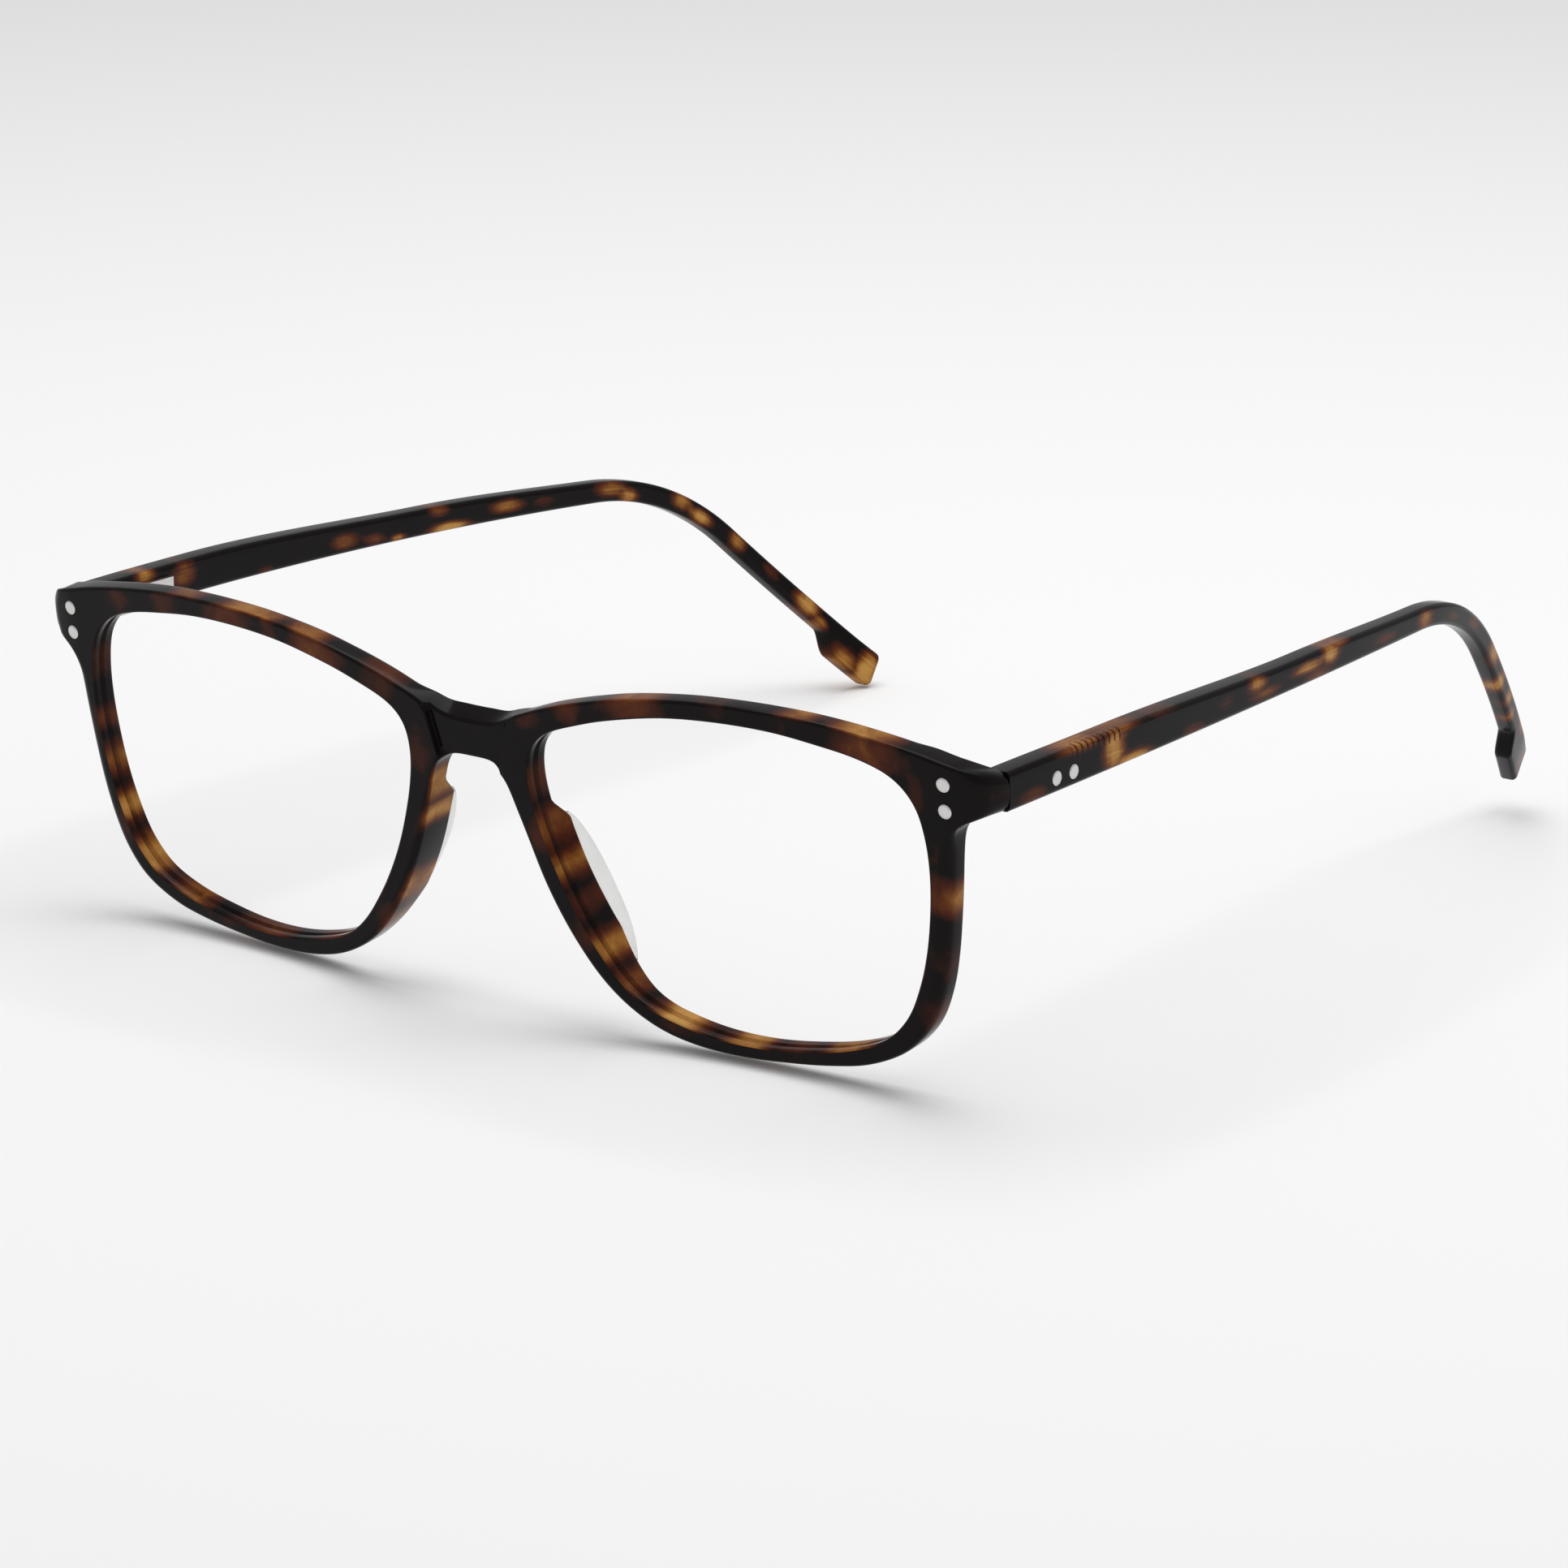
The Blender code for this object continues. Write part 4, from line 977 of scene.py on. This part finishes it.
def build_front_hinge(side, word, material):
    """Plate on the back of the endpiece carrying the upper and lower knuckles."""
    rings = []
    for x in np.linspace(*FRONT_PLATE_X, PLATE_SECTIONS):
        y0 = front_y(x) + RIM_DEPTH + PLATE_GAP
        ring = rectangle(y0, y0 + PLATE, -FRONT_PLATE_HALF, FRONT_PLATE_HALF)
        rings.append([from_front((side * x, y, z)) for y, z in ring])
    verts, faces = loft(rings)
    piece = new_piece("hinge_plate_front_" + word, verts, faces, material)
    place = hinge_place(side)
    steps = []
    outline = [(-1.1, -1.65), (1.0, -1.65), (1.05, 0.1), (-1.1, 0.1)]
    for direction in (1, -1):
        low = HINGE_MID_Z + direction * (KNUCKLE_HEIGHT + KNUCKLE_GAP) - KNUCKLE_HEIGHT / 2
        steps.append((knuckle(low, low + KNUCKLE_HEIGHT, KNUCKLE_R, place), "UNION"))
        ends = (low + LUG_INSET, low + KNUCKLE_HEIGHT - LUG_INSET)
        steps.append((lug(outline, *ends, side, place), "UNION"))
    ends = (HINGE_MID_Z - HINGE_REACH - BORE_OVERRUN, HINGE_MID_Z + HINGE_REACH + BORE_OVERRUN)
    steps.append((knuckle(*ends, SCREW_R + SCREW_GAP, place), "DIFFERENCE"))
    finish_hinge(piece, "hinge_front_" + word, "front", steps)


def build_temple_hinge(side, word, material):
    """Plate on the inner face of the temple with the middle knuckle."""
    rings = []
    low, high = TEMPLE_RIVET_Z - TEMPLE_PLATE_HALF, TEMPLE_RIVET_Z + TEMPLE_PLATE_HALF
    for v in np.linspace(*TEMPLE_PLATE_V, PLATE_SECTIONS):
        x1 = outer_face_x(v) - blend_table(v, THICKNESS) - AXIS_X - PLATE_GAP
        rings.append([(x, v, z) for x, z in rectangle(x1 - PLATE, x1, low, high)])
    place = hinge_place(side)
    verts, faces = loft(rings)
    verts = placed(place, side, verts)
    piece = new_piece("hinge_plate_temple_" + word, verts, faces, material)
    inner = TEMPLE_FACE_X - THICKNESS[0][1] - AXIS_X
    low, high = HINGE_MID_Z - KNUCKLE_HEIGHT / 2, HINGE_MID_Z + KNUCKLE_HEIGHT / 2
    outline = [(-0.3, 0.2), (inner - 0.35, 1.2), (inner - 0.35, 2.4), (-0.9, 0.75)]
    steps = [(lug(outline, low + LUG_INSET, high - LUG_INSET, side, place), "UNION"),
             (knuckle(low, high, KNUCKLE_R, place), "UNION"),
             (knuckle(low - BORE_OVERRUN, high + BORE_OVERRUN, SCREW_R + SCREW_GAP, place),
              "DIFFERENCE")]
    finish_hinge(piece, "hinge_temple_" + word, "temple_arm_" + word, steps)


def build_screw(side, word, material):
    """Hinge screw with a chamfered, slotted head."""
    place = hinge_place(side)
    top = HINGE_MID_Z + HINGE_REACH
    stations = [(-2 * HINGE_REACH, SCREW_R), (0.03, SCREW_R), (0.03, SCREW_HEAD_R - 0.04),
                (0.07, SCREW_HEAD_R), (SCREW_HEAD - 0.14, SCREW_HEAD_R),
                (SCREW_HEAD - 0.05, SCREW_HEAD_R - 0.05), (SCREW_HEAD, SCREW_HEAD_R - 0.16)]
    verts, faces = turned(stations, (0.0, 0.0, top), (0, 0, 1), (0, 1, 0), 64)
    piece = new_piece("slotted_screw_" + word, placed(place, 1, verts), faces, material)
    outline = rectangle(-1.2, 1.2, -SLOT_HALF, SLOT_HALF)
    slot = lug(outline, top + SCREW_HEAD - SLOT_DEPTH, top + SCREW_HEAD + 0.2, side, place)
    apply_booleans(piece, [(slot, "DIFFERENCE")])
    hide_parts("hinge_screw_" + word)
    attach(piece, "front")


# ======== materials
def shader_tree(name, roughness, metallic=0.0):
    material = bpy.data.materials.new(name)
    material.use_nodes = True
    tree = material.node_tree
    shader = tree.nodes["Principled BSDF"]
    shader.inputs["Roughness"].default_value = roughness
    shader.inputs["Metallic"].default_value = metallic
    return material, tree, shader


def add_node(tree, kind, **settings):
    node = tree.nodes.new(kind)
    for key, value in settings.items():
        if key in node.inputs:
            node.inputs[key].default_value = value
        else:
            setattr(node, key, value)
    return node


def attribute(tree, name):
    return add_node(tree, "ShaderNodeAttribute", attribute_name=name)


def noise(tree, vector, scale, detail=4.0, rough=0.55, distortion=0.0):
    node = add_node(tree, "ShaderNodeTexNoise", Scale=scale, Detail=detail, Roughness=rough,
                    Distortion=distortion)
    tree.links.new(vector, node.inputs["Vector"])
    return node.outputs["Fac"]


def math_node(tree, operation, a, b, clamp=False):
    node = add_node(tree, "ShaderNodeMath", operation=operation, use_clamp=clamp)
    for index, value in enumerate((a, b)):
        if isinstance(value, (int, float)):
            node.inputs[index].default_value = value
        else:
            tree.links.new(value, node.inputs[index])
    return node.outputs[0]


def scaled(tree, vector, scale):
    node = add_node(tree, "ShaderNodeMapping")
    node.inputs["Scale"].default_value = scale
    tree.links.new(vector, node.inputs["Vector"])
    return node.outputs["Vector"]


def product(tree, a, b):
    return math_node(tree, "MULTIPLY", a, b)


def swing(tree, value, share):
    """A noise value moved to swing round zero, by a share."""
    return product(tree, math_node(tree, "SUBTRACT", value, 0.5), share)


def set_roughness(tree, shader, value, low, high):
    rough = add_node(tree, "ShaderNodeMapRange")
    rough.inputs["To Min"].default_value = low
    rough.inputs["To Max"].default_value = high
    tree.links.new(value, rough.inputs["Value"])
    tree.links.new(rough.outputs["Result"], shader.inputs["Roughness"])


def set_bump(tree, shader, value, strength):
    bump = add_node(tree, "ShaderNodeBump", Strength=strength, Distance=0.00002)
    tree.links.new(value, bump.inputs["Height"])
    tree.links.new(bump.outputs["Normal"], shader.inputs["Normal"])


def colour_ramp(tree, factor, stops):
    node = tree.nodes.new("ShaderNodeValToRGB")
    elements = node.color_ramp.elements
    while len(elements) < len(stops):
        elements.new(0.5)
    for element, (position, colour) in zip(elements, stops):
        element.position = position
        element.color = (*colour, 1.0)
    tree.links.new(factor, node.inputs["Fac"])
    return node.outputs["Color"]


# Colours of the tortoiseshell, from black through red-brown to gold.
SHELL = [
    (0, (0.004, 0.003, 0.0032)), (0.3, (0.006, 0.0036, 0.0034)),
    (0.4, (0.03, 0.0085, 0.005)), (0.52, (0.062, 0.0135, 0.0058)),
    (0.62, (0.098, 0.025, 0.0075)), (0.74, (0.18, 0.06, 0.012)),
    (0.86, (0.33, 0.14, 0.028)), (1, (0.52, 0.27, 0.07)),
]


def core_marks(tree, grain):
    """Dark ticks high on a temple's outer face, as if the notched core showed through."""
    parts = add_node(tree, "ShaderNodeSeparateXYZ")
    tree.links.new(grain, parts.inputs["Vector"])
    across, along, up = parts.outputs["X"], parts.outputs["Y"], parts.outputs["Z"]
    phase = product(tree, along, 2 * math.pi / CORE_MARKS["pitch"])
    wave = math_node(tree, "SINE", phase, 0.0)
    tick = math_node(tree, "GREATER_THAN", wave, 0.5)
    outer = math_node(tree, "GREATER_THAN", across, CORE_MARKS["across"])
    offset = math_node(tree, "SUBTRACT", along, CORE_MARKS["middle"])
    away = math_node(tree, "ABSOLUTE", offset, 0.0)
    near = math_node(tree, "LESS_THAN", away, CORE_MARKS["half"])
    high = math_node(tree, "GREATER_THAN", up, CORE_MARKS["height"])
    tick = product(tree, tick, product(tree, near, high))
    return product(tree, product(tree, tick, outer), CORE_MARKS["darkening"])


def make_acetate(name, stretch, wander, fleck_share, streak_share):
    """Polished tortoiseshell: dark ground, red-brown clouds and gold where it is clear.

    Only the temples have lengthwise streaks, and with them the core marks.
    """
    material, tree, shader = shader_tree(name, 0.13)
    tone = attribute(tree, "tone").outputs["Fac"]
    grain = attribute(tree, "grain").outputs["Vector"]
    sheet = scaled(tree, grain, stretch)
    clouds = noise(tree, sheet, 0.28, 3.0, 0.5, 0.6)
    flecks = noise(tree, sheet, 1.1, 3.0, 0.6, 0.3)
    streaks = noise(tree, scaled(tree, grain, (3.2, 0.14, 3.2)), 1.0, 2.0, 0.5)
    value = math_node(tree, "ADD", tone, swing(tree, clouds, wander))
    value = math_node(tree, "ADD", value, swing(tree, flecks, fleck_share))
    if streak_share:
        value = math_node(tree, "SUBTRACT", value, core_marks(tree, grain))
    value = math_node(tree, "ADD", value, swing(tree, streaks, streak_share), clamp=True)
    tree.links.new(colour_ramp(tree, value, SHELL), shader.inputs["Base Color"])
    fine = noise(tree, grain, 6.0, 5.0, 0.6)
    set_roughness(tree, shader, fine, 0.10, 0.20)
    set_bump(tree, shader, fine, 0.05)
    shader.inputs["Specular IOR Level"].default_value = 0.09
    return material


def make_pad_material():
    material, tree, shader = shader_tree("clear_acetate", 0.10)
    coords = add_node(tree, "ShaderNodeTexCoord").outputs["Object"]
    haze = noise(tree, coords, 300.0, 3.0, 0.5)
    tint = colour_ramp(tree, haze, [(0.3, (0.86, 0.86, 0.85)), (0.7, (0.92, 0.92, 0.91))])
    tree.links.new(tint, shader.inputs["Base Color"])
    shader.inputs["Transmission Weight"].default_value = 0.80
    shader.inputs["IOR"].default_value = 1.30
    set_roughness(tree, shader, haze, 0.08, 0.16)
    return material


def make_metal(name, colour, low, high, direction):
    """Metal with fine marks, shortest along the axis where direction is largest."""
    material, tree, shader = shader_tree(name, low, 1.0)
    coords = add_node(tree, "ShaderNodeTexCoord").outputs["Object"]
    marks = noise(tree, scaled(tree, coords, direction), 1.0, 5.0, 0.65)
    shade = [tuple(0.90 * c for c in colour), tuple(min(1.0, 1.06 * c) for c in colour)]
    tree.links.new(colour_ramp(tree, marks, [(0.3, shade[0]), (0.7, shade[1])]),
                   shader.inputs["Base Color"])
    set_roughness(tree, shader, marks, low, high)
    set_bump(tree, shader, marks, 0.12)
    return material


# ======== studio
CAMERA_AZIMUTH = math.radians(37.98)
CAMERA_ELEVATION = math.radians(16.14)
CAMERA_ROLL = math.radians(-0.55)
CAMERA_PLACE = (0.4794, -0.6273, 0.2395)
CAMERA_LENS = 156.0
FLOOR_REACH = 6.0
FLOOR_Z = -0.0001


def build_camera():
    data = bpy.data.cameras.new("camera")
    data.lens = CAMERA_LENS
    data.sensor_width = 36.0
    data.clip_start = 0.01
    data.clip_end = 50.0
    camera = bpy.data.objects.new("camera", data)
    a, e = CAMERA_AZIMUTH, CAMERA_ELEVATION
    back = Vector((math.sin(a) * math.cos(e), -math.cos(a) * math.cos(e), math.sin(e)))
    level = Vector((math.cos(a), math.sin(a), 0.0))
    up = level.cross(-back)
    right = level * math.cos(CAMERA_ROLL) + up * math.sin(CAMERA_ROLL)
    upright = up * math.cos(CAMERA_ROLL) - level * math.sin(CAMERA_ROLL)
    turn = Matrix((right, upright, back)).transposed().to_4x4()
    camera.matrix_world = Matrix.Translation(CAMERA_PLACE) @ turn
    bpy.context.scene.collection.objects.link(camera)
    bpy.context.scene.camera = camera


def build_floor():
    mesh = bpy.data.meshes.new("floor")
    corners = rectangle(-FLOOR_REACH, FLOOR_REACH, -FLOOR_REACH, FLOOR_REACH)
    mesh.from_pydata([(x, y, FLOOR_Z) for x, y in corners], [], [(0, 1, 2, 3)])
    floor = bpy.data.objects.new("floor", mesh)
    material, _, shader = shader_tree("floor_paper", 0.9)
    shader.inputs["Base Color"].default_value = (0.93, 0.93, 0.93, 1.0)
    shader.inputs["Specular IOR Level"].default_value = 0.1
    mesh.materials.append(material)
    bpy.context.scene.collection.objects.link(floor)


def add_area(name, place, target, size, watts):
    data = bpy.data.lights.new(name, "AREA")
    data.shape = "RECTANGLE"
    data.size, data.size_y = size
    data.energy = watts
    light = bpy.data.objects.new(name, data)
    light.location = place
    light.rotation_mode = "QUATERNION"
    light.rotation_quaternion = (Vector(target) - Vector(place)).to_track_quat("-Z", "Y")
    bpy.context.scene.collection.objects.link(light)


def build_light():
    world = bpy.data.worlds.new("studio")
    world.use_nodes = True
    background = world.node_tree.nodes["Background"]
    background.inputs["Color"].default_value = (1.0, 1.0, 1.0, 1.0)
    background.inputs["Strength"].default_value = 0.50
    bpy.context.scene.world = world
    add_area("overhead", (0.0, 0.10, 0.80), (0.0, 0.0, 0.0), (0.9, 0.7), 4.6)


# ======== build
def main():
    build_camera()
    build_floor()
    build_light()
    bpy.context.scene.view_settings.view_transform = "Standard"

    front = make_acetate("tortoiseshell_front", (1.0, 1.0, 1.0), 0.42, 0.10, 0.0)
    temple = make_acetate("tortoiseshell_temple", (1.0, 0.45, 1.0), 0.40, 0.16, 0.34)
    rivet = make_metal("rivet_metal", (0.68, 0.67, 0.655), 0.34, 0.46, (9000, 9000, 1500))
    hinge = make_metal("hinge_metal", (0.62, 0.61, 0.60), 0.22, 0.34, (3000, 500, 3000))
    screw = make_metal("screw_metal", (0.58, 0.58, 0.58), 0.18, 0.28, (2500, 2500, 2500))
    wire = make_metal("wire_metal", (0.50, 0.47, 0.42), 0.26, 0.40, (2500, 300, 2500))
    pad = make_pad_material()

    build_front(front)
    build_rivets(rivet)
    for side, word in SIDES:
        build_pad(side, word, pad)
        build_temple(side, word, temple)
        build_core(side, word, wire)
        build_front_hinge(side, word, hinge)
        build_temple_hinge(side, word, hinge)
        build_screw(side, word, screw)


main()
